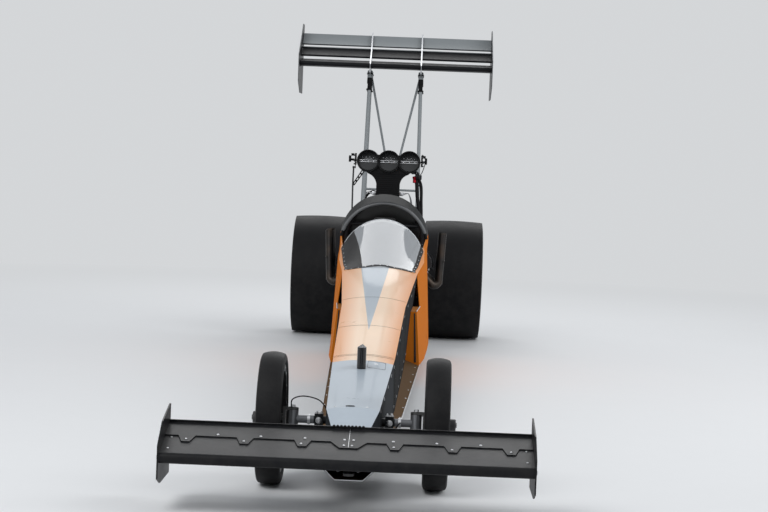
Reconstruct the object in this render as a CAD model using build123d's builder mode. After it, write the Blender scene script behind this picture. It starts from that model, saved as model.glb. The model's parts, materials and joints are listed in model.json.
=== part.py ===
import os
from collections import namedtuple
from math import cos, radians, sin

from build123d import *

os.makedirs("parts", exist_ok=True)

# Overall layout. The car's nose points to -Y, +X is its left side as seen from the driver's seat
wheelbase = 7620
front_reach = 830
rear_reach = 1420
front_axle_y = front_reach - (wheelbase + front_reach + rear_reach) / 2
rear_axle_y = front_axle_y + wheelbase

# Stations, measured behind the front axle. The engine keeps its place ahead of the rear axle,
# and the cockpit keeps its place ahead of the engine
engine_setback = 1490
firewall_setback = 190
cockpit_length = 1490
nose_joint = 1300
engine_front = wheelbase - engine_setback
body_end = engine_front - firewall_setback
screen_base = body_end - cockpit_length

# Clearances
seat_gap = 0.3
pin_gap = 0.1

# Front wheels and steering
front_track = 700
front_tyre_radius = 282.5
front_tyre_section = 106
front_tread = 92
front_rim_radius = 216
front_rim_width = 84
spindle_radius = 20
kingpin_x = 262
kingpin_radius = 9
caster = 15
boss_radius = 24
boss_height = 66
ear_thickness = 14
ear_radius = 24
steer_arm_length = 115
axle_tube_radius = 17
clamp_x = 150
clamp_width = 36
clamp_height = 56
clamp_depth = 52
tie_rod_radius = 8

# Rear wheels and axle
rear_track = 1010
rear_tyre_radius = 457
rear_tyre_section = 452
rear_tread = 436
rear_rim_radius = 204
rear_rim_width = 406
axle_shaft_radius = 34
axle_housing_radius = 54
brake_disc_radius = 150
brake_disc_x = 246
brake_disc_thickness = 9
rear_hub_radius = 68

# Steering details
ear_gap = 0.5
web_clearance = 5
web_thickness = 12
hub_cap = 8
arm_width = 26
rod_pin_radius = 5.5
rod_pin_clearance = 3.5
rod_pin_length = 28
rod_eye_radius = 15
rod_end_height = 18

# Wheel details
rim_flange = 12
rim_lip = 5
rim_wall = 14
tread_crown = 9
hub_recess = 10
front_hub_radius = 38
front_disc_offset = 20
front_disc_thickness = 10
front_slots = 8
front_slot_circle = 122
front_slot_radius = 30
rear_disc_x = rear_track / 2 - 20
rear_disc_thickness = 12
rear_slots = 5
rear_slot_circle = 140
rear_slot_radius = 28
rear_flange_thickness = 22
wheel_nut_radius = 46
wheel_nut_length = 30
housing_end = 236
housing_centre = 150
housing_radius = 150
pinion_reach = 250
pinion_radius = 62

# Body: station behind the front axle, then height and half width of the flat belly's corner, of the
# ledge's edge along the sill, of the waist over the ledge and of the shoulder, and the crown's height
Section = namedtuple(
    "Section",
    "station belly_z belly_x edge_z edge_x waist_z waist_x shoulder_z shoulder_x crown_z",
)
wall = 4
nose_sections = [
    Section(-500, 104, 58, 150, 108, 172, 84, 290, 68, 297),
    Section(-250, 106, 96, 152, 140, 178, 112, 360, 110, 371),
    Section(nose_joint, 110, 150, 150, 196, 178, 158, 428, 150, 445),
]
cowl_sections = [
    nose_sections[-1],
    Section(nose_joint + 1700, 96, 200, 136, 244, 168, 176, 556, 180, 580),
    Section(screen_base, 86, 236, 126, 284, 160, 190, 664, 238, 700),
]
cockpit_sections = [
    Section(screen_base, 86, 262, 130, 302, 300, 281, 664, 238, 700),
    Section(screen_base + 650, 82, 282, 130, 322, 300, 314, 730, 292, 965),
    Section(body_end - 340, 80, 292, 130, 332, 300, 323, 780, 296, 1140),
    Section(body_end, 80, 286, 130, 326, 300, 315, 790, 282, 1100),
]
flare_length = 450
flare_top_z = 460
flare_top_x = 244
belly_depth = 30
coaming_front_z = 690
coaming_rear_z = 850
screen_rear_station = screen_base + 640
screen_rake = 24
hoop_front_station = body_end - 500
rim_radius = 11
firewall_thickness = 6

# Chassis tubes
rail_radius = 19
rail_bend = 260
brace_radius = 13
engine_rail_x = 238
rear_rail_x = 212
rear_rail_z = rear_tyre_radius + axle_housing_radius + rail_radius + 10
rear_rail_end = wheelbase + 340
side_rail_x = 252
side_rail_z = 480
engine_rail_rise = 66
carrier_tube = -318
front_uprights = (-200, 700, 1900, 3100, screen_base - 150, body_end - 640)
rear_uprights = (body_end + 80, wheelbase - 330, rear_rail_end)
diagonal_top = 560
motor_plate_rise = 40
motor_plate_height = 230
caliper_offset = 126
caliper_length = 80
caliper_height = 124
caliper_end_x = 276
disc_gap = 5.5
axle_plate_x = 92
axle_plate_thickness = 10
axle_plate_length = 90
housing_plate_x = 205
housing_plate_thickness = 10
housing_plate_length = 200
motor_plate = 8
tow_tongue_width = 46
tow_tongue_thickness = 10
tow_eye_station = -525
tow_eye_radius = 10
anchor_thickness = 12
anchor_height = 50
anchor_reach = 140
anchor_radius = 13
cage_radius = 19
hoop_tube_station = body_end - 380
cage_shoulder_x = 268
cage_shoulder_z = 800
cage_top_z = 1096
cage_front_station = screen_base + 250
weld_bead = 3

# Cockpit
seat_front = body_end - 880
seat_knee_run = 50
seat_length = 300
seat_lean = 170
seat_lip = 90
seat_pad = 40
seat_top_z = 760
seat_half_width = 190
seat_side_height = 90
seat_side_thickness = 16
steering_station = screen_base + 530
steering_z = 640
column_tilt = 20
column_radius = 11
column_length = 420
bearing_depth = 200
bearing_radius = 22
bearing_length = 40
wheel_hub_radius = 32
grip_thickness = 24
grip_x = 118
grip_length = 130

# Engine, measured from the crankshaft's axis
crank_z = 400
engine_length = 600
deck_distance = 262
deck_half_width = 92
head_thickness = 92
head_half_width = 90
cover_thickness = 84
cover_half_width = 84
cover_flange = 10
cover_body_share = 0.86
manifold_top_z = 752
blower_length = 470
blower_half_width = 150
blower_height = 236
blower_ribs = 9
blower_rib_width = 9
blower_rib_height = 8
blower_plate = 18
nose_cover_radius = 66
nose_cover_length = 34
inlet_z = 1362
inlet_pitch = 147
inlet_radius = 80
inlet_bore = 70
hat_length = 330
header_radius = 28
bore_pitch = 122
skirt_x = 132
pan_rail_z = 268
pan_x = 112
pan_bottom_z = 128
valley_depth = 26
head_inset = 10
snout_length = 118
crank_snout_radius = 30
rotor_x = 62
flange_thickness = 16
drive_nose_radius = 36
drive_nose_length = 190
belt_middle = 70
belt_width = 74
belt_thickness = 8
crank_pulley_radius = 72
blower_pulley_radius = 84
hat_front_station = engine_front + 80
hat_web_rise = 46
hat_web_reach = 30
hat_cheek_drop = 60
hat_flare_drop = 91
hat_flare_x = 143
hat_curve_drop = 118
hat_curve_x = 103
hat_waist_drop = 166
hat_waist_x = 83
hat_foot_x = 120
hat_shoulder_reach = 264
hat_shoulder_drop = 98
hat_tail_height = 90
hat_neck_setback = 60
inlet_reach = 25
inlet_lip = 6
inlet_depth = 100
barrel_length = 130
blade_setback = 24
blade_tilt = 16
blade_shaft_radius = 6
blade_overhang = 26
blade_thickness = 3
lever_length = 74
lever_width = 18
lever_thickness = 5
lever_angle = 62
lever_gap = 8
header_wall = 2
header_drop = 62
header_x = 388
header_low_z = 480
header_top_x = 408
header_top_z = 850
header_sweep = 70
header_bend = 34
header_flange_length = 84
header_flange_width = 64
header_flange_thickness = 9
first_port = 117
magneto_x = 142
magneto_radius = 38
magneto_cap_radius = 43
magneto_body_height = 130
magneto_cap_height = 34
magneto_setback = 62
magneto_foot_z = 560
magneto_foot_height = 30
pump_x = 112
pump_z = 270
pump_radius = 43
pump_length = 96
clutch_radius = 196
clutch_length = 320
coupler_radius = 52

# Rear wing and its stand
wing_half_span = 752
endplate_thickness = 6
rib_x = 200
rib_thickness = 6
stand_foot_x = 218
stand_legs = ((wheelbase - 290, wheelbase + 210), (wheelbase + 310, wheelbase + 420))
wing_z = 2098
stand_top_z = wing_z - 38
stand_cross_station = wheelbase + 350
stand_radius = 14
adjuster_radius = 20
adjuster_length = 90
stay_radius = 9
stand_v_z = 1130
stand_cross_x = 214

# Front wing
front_wing_half_span = 728
front_endplate_thickness = 6
front_nose_radius = 22
front_wing_nose_z = 212
front_wing_chord = 330
front_wing_tilt = 13
front_flap_start = 186
front_flap_end = 334
front_flap_thickness = 4
tab_depth = 66
front_gurney = 14
carrier_x = 40
carrier_thickness = 8
carrier_front = -640
carrier_front_low = 160
carrier_front_high = 270
carrier_mouth = -505
carrier_mouth_low = 200
carrier_mouth_high = 290
carrier_end_low = 116
carrier_end_high = 180
front_plate_length = 380
front_plate_low_z = 102
front_plate_nose_z = 262
front_plate_top_z = 382
plate_chin = 28
plate_chin_reach = 90
plate_brow_reach = 130
plate_brow_z = 340
plate_tail_flat = 20

# Cowl fin
fin_station = 830
fin_half_width = 21
fin_length = 110
fin_height = 100

# Wheelie bars and parachute packs
wheelie_wheel_radius = 66
wheelie_wheel_z = 112
wheelie_wheel_width = 40
wheelie_x = 150
wheelie_boss_radius = 24
wheelie_shaft_radius = 10
wheelie_spreader_setback = 160
wheelie_spreader_rise = 8
pack_station = wheelbase + 380
pack_x = 150
pack_z = 800
pack_width = 220
pack_height = 260
pack_length = 360
pack_corner = 60
tray_thickness = 5
tray_station = wheelbase + 316


def cross_plane(y, x=0, z=0):
    """Plane across the car, seen from the front: local x is +X and local y is +Z."""
    return Plane(origin=(x, y, z), x_dir=(1, 0, 0), z_dir=(0, -1, 0))


def side_plane(x, y=0, z=0):
    """Plane along the car: local x is +Y and local y is +Z."""
    return Plane(origin=(x, y, z), x_dir=(0, 1, 0), z_dir=(1, 0, 0))


def at(station):
    """Place along Y of a station behind the front axle."""
    return front_axle_y + station


def body_face(section, inset):
    """One cross section of the body, pulled in by a wall thickness or grown by a negative one."""
    belly = (section.belly_x - inset * 0.4, section.belly_z + inset)
    edge = (section.edge_x - inset * 1.2, section.edge_z)
    waist = (section.waist_x - inset, section.waist_z - inset * 0.5)
    shoulder = (section.shoulder_x - inset, section.shoulder_z - inset * 0.4)
    left_side = [shoulder, waist, edge, belly]
    right_side = [(-x, z) for x, z in reversed(left_side)]
    with BuildSketch(cross_plane(at(section.station))) as face:
        with BuildLine():
            Polyline(*left_side, *right_side)
            ThreePointArc(right_side[-1], (0, section.crown_z - inset), shoulder)
        make_face()
    return face.sketch


def row_at(rows, station):
    """Row of a table at a station between two of its rows, or in line beyond its ends."""
    for low, high in zip(rows, rows[1:]):
        if station <= high.station:
            break
    share = (station - low.station) / (high.station - low.station)
    return type(low)(*(a + share * (b - a) for a, b in zip(low, high)))


def body_shell(sections):
    """Thin-walled tube through the sections, open at both ends."""
    with BuildPart() as shell:
        loft([body_face(section, 0) for section in sections], ruled=True)
        loft([body_face(section, wall) for section in sections], ruled=True, mode=Mode.SUBTRACT)
    return shell.part


def tube(start, end, radius, mode=Mode.ADD):
    """Round tube between two points, added to the part in hand or cut out of it."""
    run = Vector(*end) - Vector(*start)
    with Locations(Plane(origin=start, z_dir=run.normalized())):
        Cylinder(radius, run.length, align=(Align.CENTER, Align.CENTER, Align.MIN), mode=mode)


def both_sides(x):
    """The two mirrored places across the car."""
    return (-x, x)


def save(name, part):
    """Label a finished piece and write it under its node's name."""
    part.label = name
    export_step(part, f"parts/{name}.step")


# Nose cowl: a grey wedge, open at its mouth, with holes for the axle and the tie rod
steer_plane = {
    side: Plane(
        origin=(side * kingpin_x, front_axle_y, front_tyre_radius),
        x_dir=(1, 0, 0),
        z_dir=(0, sin(radians(caster)), cos(radians(caster))),
    )
    for side in (-1, 1)
}
arm_z = -(boss_height / 2 + ear_gap + ear_thickness / 2)
rod_local_z = arm_z + ear_thickness / 2 + seat_gap + rod_end_height / 2
rod_end = {
    side: steer_plane[side].from_local_coords((0, steer_arm_length, rod_local_z)) for side in (-1, 1)
}

with BuildPart() as nose_cowl:
    add(body_shell(nose_sections))
    with Locations(Plane(origin=(0, front_axle_y, front_tyre_radius), z_dir=(1, 0, 0))):
        Cylinder(axle_tube_radius + 5, front_track, mode=Mode.SUBTRACT)
    with Locations(Plane(origin=(0, rod_end[1].Y, rod_end[1].Z), z_dir=(1, 0, 0))):
        Cylinder(tie_rod_radius + 6, front_track, mode=Mode.SUBTRACT)
save("nose_cowl", nose_cowl.part)

# Main cowl over the tank and the driver's legs, with its belly pan split off below. A flare on
# each side fills its waist out to the cockpit's full width
cowl_shell = body_shell(cowl_sections)
cowl_length = cowl_sections[-1].station - cowl_sections[0].station
belly_slope = (cowl_sections[-1].belly_z - cowl_sections[0].belly_z) / cowl_length
belly_plane = Plane(
    origin=(0, at(cowl_sections[0].station), cowl_sections[0].belly_z + belly_depth),
    x_dir=(1, 0, 0),
    z_dir=(0, -belly_slope, 1),
)
tub_front = cockpit_sections[0]
flare_sill = row_at(cowl_sections, screen_base - flare_length)
flare_rise = (flare_top_z - tub_front.waist_z) / (tub_front.shoulder_z - tub_front.waist_z)
flare_tub_x = tub_front.waist_x + flare_rise * (tub_front.shoulder_x - tub_front.waist_x)


def flare_face(y, foot_x, top_x):
    """Upright face of the left flare, from inside the cowl's waist out to its skin."""
    root_x = flare_sill.waist_x * 0.8
    foot_z = tub_front.edge_z + 1
    with BuildSketch(cross_plane(y)) as face:
        with BuildLine():
            Polyline(
                (root_x, foot_z),
                (foot_x, foot_z),
                (top_x, flare_top_z),
                (root_x, flare_top_z),
                close=True,
            )
        make_face()
    return face.sketch


with BuildPart() as flares:
    front_face = flare_face(at(flare_sill.station), flare_sill.edge_x, flare_top_x)
    rear_face = flare_face(at(screen_base) - seat_gap, tub_front.edge_x, flare_tub_x)
    loft([front_face, rear_face], ruled=True)
    mirror(about=Plane.YZ)
    loft([body_face(section, -seat_gap) for section in cowl_sections], ruled=True, mode=Mode.SUBTRACT)

with BuildPart() as main_cowl:
    add(cowl_shell)
    split(bisect_by=belly_plane, keep=Keep.TOP)
    add(flares.part)
save("main_cowl", main_cowl.part)

with BuildPart() as belly_pan:
    add(cowl_shell)
    split(bisect_by=belly_plane, keep=Keep.BOTTOM)
save("belly_pan", belly_pan.part)

# Cockpit: the lower tub, the windscreen and the head fairing come from one thin shell.
# A round rim stiffens the fairing's front edge
cockpit_shell = body_shell(cockpit_sections)
coaming_slope = (coaming_rear_z - coaming_front_z) / (hoop_front_station - screen_base)
coaming_plane = Plane(
    origin=(0, at(screen_base), coaming_front_z),
    x_dir=(1, 0, 0),
    z_dir=(0, -coaming_slope, 1),
)
screen_plane = Plane(
    origin=(0, at(screen_rear_station), coaming_rear_z),
    x_dir=(1, 0, 0),
    z_dir=(0, cos(radians(screen_rake)), -sin(radians(screen_rake))),
)
hoop_plane = Plane(origin=(0, at(hoop_front_station), 0), x_dir=(1, 0, 0), z_dir=(0, 1, 0))
with BuildPart() as cockpit_tub:
    add(cockpit_shell)
    split(bisect_by=coaming_plane, keep=Keep.BOTTOM)
save("cockpit_tub", cockpit_tub.part)

with BuildPart() as windscreen:
    add(cockpit_shell)
    split(bisect_by=coaming_plane, keep=Keep.TOP)
    split(bisect_by=screen_plane, keep=Keep.BOTTOM)
save("windscreen", windscreen.part)

rim = row_at(cockpit_sections, hoop_front_station)
rim_x = rim.shoulder_x - wall / 2
rim_y = at(hoop_front_station)
with BuildPart() as head_fairing:
    add(cockpit_shell)
    split(bisect_by=hoop_plane, keep=Keep.TOP)
    with BuildLine() as rim_path:
        ThreePointArc(
            (-rim_x, rim_y, rim.shoulder_z),
            (0, rim_y, rim.crown_z - wall / 2),
            (rim_x, rim_y, rim.shoulder_z),
        )
    with BuildSketch(Plane(origin=rim_path.line @ 0, z_dir=rim_path.line % 0)):
        Circle(rim_radius)
    sweep(path=rim_path.line)
    split(bisect_by=coaming_plane, keep=Keep.TOP)
save("head_fairing", head_fairing.part)

# Firewall behind the driver, closing the rear end of the shell
last = cockpit_sections[-1]
with BuildPart() as firewall:
    extrude(body_face(last, wall + seat_gap), amount=firewall_thickness)
save("firewall", firewall.part)

# Front axle: a tube across the car with a clamp beside the nose and a leaning kingpin boss
# at each end
with BuildPart() as front_axle:
    with Locations(Plane(origin=(0, front_axle_y, front_tyre_radius), z_dir=(1, 0, 0))):
        Cylinder(axle_tube_radius, 2 * kingpin_x)
    for side in (-1, 1):
        with Locations((side * clamp_x, front_axle_y, front_tyre_radius)):
            Box(clamp_width, clamp_depth, clamp_height)
        with Locations(steer_plane[side]):
            Cylinder(boss_radius, boss_height)
            Cylinder(kingpin_radius + pin_gap, boss_height * 2, mode=Mode.SUBTRACT)
save("front_axle", front_axle.part)

# Steering knuckles: two ears round the boss, the kingpin, a web, the spindle and the steering arm
ear_offset = boss_height / 2 + ear_gap + ear_thickness / 2
web_inner = boss_radius + web_clearance
spindle_end = front_track / 2 + front_rim_width / 2
for side, name in ((-1, "knuckle_right"), (1, "knuckle_left")):
    with BuildPart() as knuckle:
        with Locations(steer_plane[side]):
            Cylinder(kingpin_radius, 2 * ear_offset)
            with Locations((0, 0, ear_offset), (0, 0, -ear_offset)):
                Cylinder(ear_radius, ear_thickness)
                with Locations((side * (web_inner + web_thickness) / 2, 0, 0)):
                    Box(web_inner + web_thickness, 2 * ear_radius, ear_thickness)
            with Locations((side * (web_inner + web_thickness / 2), 0, 0)):
                Box(web_thickness, 2 * ear_radius, 2 * ear_offset + ear_thickness)
            with Locations((0, steer_arm_length / 2, -ear_offset)):
                Box(arm_width, steer_arm_length, ear_thickness)
            with Locations((0, steer_arm_length, -ear_offset)):
                Cylinder(arm_width / 2, ear_thickness)
            with Locations((0, steer_arm_length, -ear_offset)):
                Cylinder(rod_pin_radius, rod_pin_length, align=(Align.CENTER, Align.CENTER, Align.MIN))
        tube(
            (side * (kingpin_x + web_inner + web_thickness / 2), front_axle_y, front_tyre_radius),
            (side * (spindle_end - hub_cap - seat_gap), front_axle_y, front_tyre_radius),
            spindle_radius,
        )
    save(name, knuckle.part)

# Tie rod behind the axle, with an eye over each arm's pin
with BuildPart() as tie_rod:
    tube(tuple(rod_end[-1]), tuple(rod_end[1]), tie_rod_radius)
    for side in (-1, 1):
        with Locations(Plane(origin=rod_end[side], x_dir=(1, 0, 0), z_dir=steer_plane[side].z_dir)):
            Cylinder(rod_eye_radius, rod_end_height)
            Cylinder(rod_pin_radius + rod_pin_clearance, 2 * rod_end_height, mode=Mode.SUBTRACT)
save("tie_rod", tie_rod.part)


def make_tyre(x, y, radius, section, tread, rim_radius, rim_width):
    """Slick tyre: a ring with a crowned tread and bulging sidewalls, standing on the ground."""
    bead = rim_width / 2 - seat_gap
    inner = rim_radius + seat_gap
    lip = rim_radius + rim_flange + 2
    shoulder = radius - tread_crown
    with BuildPart() as tyre:
        with BuildSketch(cross_plane(y, x, radius)):
            with BuildLine():
                Polyline((-bead, lip), (-bead, inner), (bead, inner), (bead, lip))
                ThreePointArc((bead, lip), (section / 2, (lip + shoulder) / 2), (tread / 2, shoulder))
                ThreePointArc((tread / 2, shoulder), (0, radius), (-tread / 2, shoulder))
                ThreePointArc((-tread / 2, shoulder), (-section / 2, (lip + shoulder) / 2), (-bead, lip))
            make_face()
        revolve(axis=Axis((x, y, radius), (1, 0, 0)))
    return tyre.part


# Front wheels: a spoked disc on a hub, inside a flanged barrel
for side, suffix in ((-1, "right"), (1, "left")):
    x = side * front_track / 2
    front_tyre = make_tyre(
        x,
        front_axle_y,
        front_tyre_radius,
        front_tyre_section,
        front_tread,
        front_rim_radius,
        front_rim_width,
    )
    save(f"front_tyre_{suffix}", front_tyre)
    with BuildPart() as rim:
        hub_inner = -front_rim_width / 2 + hub_recess
        with BuildSketch(cross_plane(front_axle_y, x, front_tyre_radius)):
            with BuildLine():
                Polyline(
                    (-front_rim_width / 2 - rim_lip, front_rim_radius - rim_wall),
                    (-front_rim_width / 2 - rim_lip, front_rim_radius + rim_flange),
                    (-front_rim_width / 2, front_rim_radius + rim_flange),
                    (-front_rim_width / 2, front_rim_radius),
                    (front_rim_width / 2, front_rim_radius),
                    (front_rim_width / 2, front_rim_radius + rim_flange),
                    (front_rim_width / 2 + rim_lip, front_rim_radius + rim_flange),
                    (front_rim_width / 2 + rim_lip, front_rim_radius - rim_wall),
                    close=True,
                )
            make_face()
        revolve(axis=Axis((x, front_axle_y, front_tyre_radius), (1, 0, 0)))
        with Locations(Plane(origin=(x, front_axle_y, front_tyre_radius), z_dir=(side, 0, 0))):
            with Locations((0, 0, front_disc_offset)):
                Cylinder(front_rim_radius - rim_wall + 1, front_disc_thickness)
                with PolarLocations(front_slot_circle, front_slots):
                    Cylinder(front_slot_radius, 2 * front_disc_thickness, mode=Mode.SUBTRACT)
            with Locations((0, 0, (hub_inner + front_rim_width / 2) / 2)):
                Cylinder(front_hub_radius, front_rim_width / 2 - hub_inner)
            with Locations((0, 0, -hub_cap)):
                Cylinder(spindle_radius + pin_gap, front_rim_width, mode=Mode.SUBTRACT)
    save(f"front_rim_{suffix}", rim.part)

# Rear tyres and wheels, one node each for the pair on the common axle
with BuildPart() as rear_tyres:
    for x in both_sides(rear_track / 2):
        rear_tyre = make_tyre(
            x,
            rear_axle_y,
            rear_tyre_radius,
            rear_tyre_section,
            rear_tread,
            rear_rim_radius,
            rear_rim_width,
        )
        add(rear_tyre)
save("rear_tyres", rear_tyres.part)

half_rim = rear_rim_width / 2
with BuildPart() as rear_rims:
    for side in (-1, 1):
        x = side * rear_track / 2
        with BuildSketch(cross_plane(rear_axle_y, x, rear_tyre_radius)):
            with BuildLine():
                Polyline(
                    (-half_rim - rim_lip, rear_rim_radius - rim_wall),
                    (-half_rim - rim_lip, rear_rim_radius + rim_flange),
                    (-half_rim, rear_rim_radius + rim_flange),
                    (-half_rim, rear_rim_radius),
                    (half_rim, rear_rim_radius),
                    (half_rim, rear_rim_radius + rim_flange),
                    (half_rim + rim_lip, rear_rim_radius + rim_flange),
                    (half_rim + rim_lip, rear_rim_radius - rim_wall),
                    close=True,
                )
            make_face()
        revolve(axis=Axis((x, rear_axle_y, rear_tyre_radius), (1, 0, 0)))
        disc_plane = Plane(origin=(side * rear_disc_x, rear_axle_y, rear_tyre_radius), z_dir=(side, 0, 0))
        with Locations(disc_plane):
            with Locations((0, 0, rear_disc_thickness / 2)):
                Cylinder(rear_rim_radius - rim_wall + 1, rear_disc_thickness)
                Cylinder(axle_shaft_radius + seat_gap, 2 * rear_disc_thickness, mode=Mode.SUBTRACT)
                with PolarLocations(rear_slot_circle, rear_slots):
                    Cylinder(rear_slot_radius, 2 * rear_disc_thickness, mode=Mode.SUBTRACT)
save("rear_rims", rear_rims.part)

# Solid rear axle: one shaft with the brake discs, hub flanges and wheel nuts
with BuildPart() as rear_axle:
    with Locations(Plane(origin=(0, rear_axle_y, rear_tyre_radius), z_dir=(1, 0, 0))):
        Cylinder(axle_shaft_radius, 2 * (rear_disc_x + rear_disc_thickness + wheel_nut_length))
        with Locations((0, 0, brake_disc_x), (0, 0, -brake_disc_x)):
            Cylinder(brake_disc_radius, brake_disc_thickness)
        hub_middle = rear_disc_x - rear_flange_thickness / 2
        with Locations((0, 0, hub_middle), (0, 0, -hub_middle)):
            Cylinder(rear_hub_radius, rear_flange_thickness)
        nut_middle = rear_disc_x + rear_disc_thickness + wheel_nut_length / 2
        with Locations((0, 0, nut_middle), (0, 0, -nut_middle)):
            Cylinder(wheel_nut_radius, wheel_nut_length)
save("rear_axle", rear_axle.part)

# Rear axle housing: a round centre between two tapered tubes, with the pinion nose forward
with BuildPart() as axle_housing:
    with BuildSketch(cross_plane(rear_axle_y, 0, rear_tyre_radius)):
        with BuildLine():
            Polyline(
                (-housing_end, 0),
                (-housing_end, axle_housing_radius),
                (-housing_centre, axle_housing_radius),
                (-housing_centre * 0.55, housing_radius),
                (housing_centre * 0.55, housing_radius),
                (housing_centre, axle_housing_radius),
                (housing_end, axle_housing_radius),
                (housing_end, 0),
                close=True,
            )
        make_face()
    revolve(axis=Axis((0, rear_axle_y, rear_tyre_radius), (1, 0, 0)))
    tube((0, rear_axle_y, crank_z), (0, rear_axle_y - pinion_reach, crank_z), pinion_radius)
    with Locations(Plane(origin=(0, rear_axle_y, rear_tyre_radius), z_dir=(1, 0, 0))):
        Cylinder(axle_shaft_radius + pin_gap, 3 * housing_end, mode=Mode.SUBTRACT)
save("axle_housing", axle_housing.part)


def rail_path(points, bend):
    """Path of a rail through its points with rounded bends."""
    with BuildLine() as path:
        FilletPolyline(*points, radius=bend)
    return path.line


def add_rail(points, radius, bend, mode=Mode.ADD):
    """Tube bent along the points, added to the part in hand or cut out of it."""
    path = rail_path(points, bend)
    with BuildSketch(Plane(origin=path @ 0, z_dir=path % 0)) as ring:
        Circle(radius)
    sweep(ring.sketch, path=path, mode=mode)


# Chassis rails. Stations and half widths follow the body, inside its walls.
# The firewall stands between the front and rear frames
Rail = namedtuple("Rail", "station x z")
lower_front = [
    Rail(carrier_tube - 12, 74, 134),
    Rail(nose_joint, 136, 138),
    Rail(screen_base, 168, 118),
    Rail(screen_base + 600, 262, 112),
    Rail(body_end, 276, 112),
]
upper_front = [
    Rail(front_uprights[0] - 20, 74, 326),
    Rail(nose_joint, 108, 388),
    Rail(screen_base, 190, 600),
    Rail(body_end - 690, side_rail_x, side_rail_z),
    Rail(body_end, side_rail_x, side_rail_z),
]
lower_rear = [
    Rail(body_end - 10, 276, 112),
    Rail(engine_front + 370, 232, 112),
    Rail(rear_rail_end, rear_rail_x, 150),
]
upper_rear = [
    Rail(body_end - 10, side_rail_x, side_rail_z),
    Rail(engine_front - 60, side_rail_x, side_rail_z),
    Rail(engine_front + 120, engine_rail_x, crank_z + engine_rail_rise),
    Rail(engine_front + engine_length + 30, engine_rail_x, crank_z + engine_rail_rise),
    Rail(wheelbase - 370, rear_rail_x, rear_rail_z),
    Rail(rear_rail_end, rear_rail_x, rear_rail_z),
]


def rail_points(rail, side):
    """Corners of a rail's centre line."""
    return [(side * row.x, at(row.station), row.z) for row in rail]


def rail_at(rail, station, side):
    """Point on a rail's centre line at a station."""
    row = row_at(rail, station)
    return (side * row.x, at(station), row.z)


wheel_plane = Plane(
    origin=(0, at(steering_station), steering_z),
    x_dir=(1, 0, 0),
    z_dir=(0, cos(radians(column_tilt)), sin(radians(column_tilt))),
)
bearing_station = steering_station - bearing_depth * cos(radians(column_tilt))
with BuildPart() as front_frame:
    for side in (-1, 1):
        add_rail(rail_points(lower_front, side), rail_radius, rail_bend)
        add_rail(rail_points(upper_front, side), rail_radius, rail_bend)
        for station in front_uprights:
            tube(rail_at(lower_front, station, side), rail_at(upper_front, station, side), brace_radius)
        plate_low = rail_at(lower_front, 0, side)[2]
        plate_high = rail_at(upper_front, 0, side)[2]
        with Locations((side * axle_plate_x, front_axle_y, (plate_low + plate_high) / 2)):
            Box(axle_plate_thickness, axle_plate_length, plate_high - plate_low)
    for station in front_uprights:
        tube(rail_at(lower_front, station, -1), rail_at(lower_front, station, 1), brace_radius)
    tube(rail_at(lower_front, carrier_tube, -1), rail_at(lower_front, carrier_tube, 1), brace_radius)
    tow_z = rail_at(lower_front, carrier_tube, 1)[2]
    tow_length = carrier_tube - tow_eye_station
    with Locations((0, at(carrier_tube) - tow_length / 2, tow_z)):
        Box(tow_tongue_width, tow_length, tow_tongue_thickness)
    with Locations((0, at(tow_eye_station), tow_z)):
        Cylinder(tow_tongue_width / 2, tow_tongue_thickness)
        Cylinder(tow_eye_radius, 2 * tow_tongue_thickness, mode=Mode.SUBTRACT)
    bearing_tube = [rail_at(upper_front, bearing_station, side) for side in (-1, 1)]
    tube(bearing_tube[0], bearing_tube[1], brace_radius)
    with Locations(wheel_plane.offset(-bearing_depth)):
        Cylinder(bearing_radius, bearing_length)
        Cylinder(column_radius + pin_gap, 3 * bearing_length, mode=Mode.SUBTRACT)
    split(bisect_by=cross_plane(at(body_end) - firewall_thickness - seat_gap), keep=Keep.TOP)
    with Locations(Plane(origin=(0, front_axle_y, front_tyre_radius), z_dir=(1, 0, 0))):
        Cylinder(axle_tube_radius + seat_gap, front_track, mode=Mode.SUBTRACT)
save("front_frame", front_frame.part)

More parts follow.
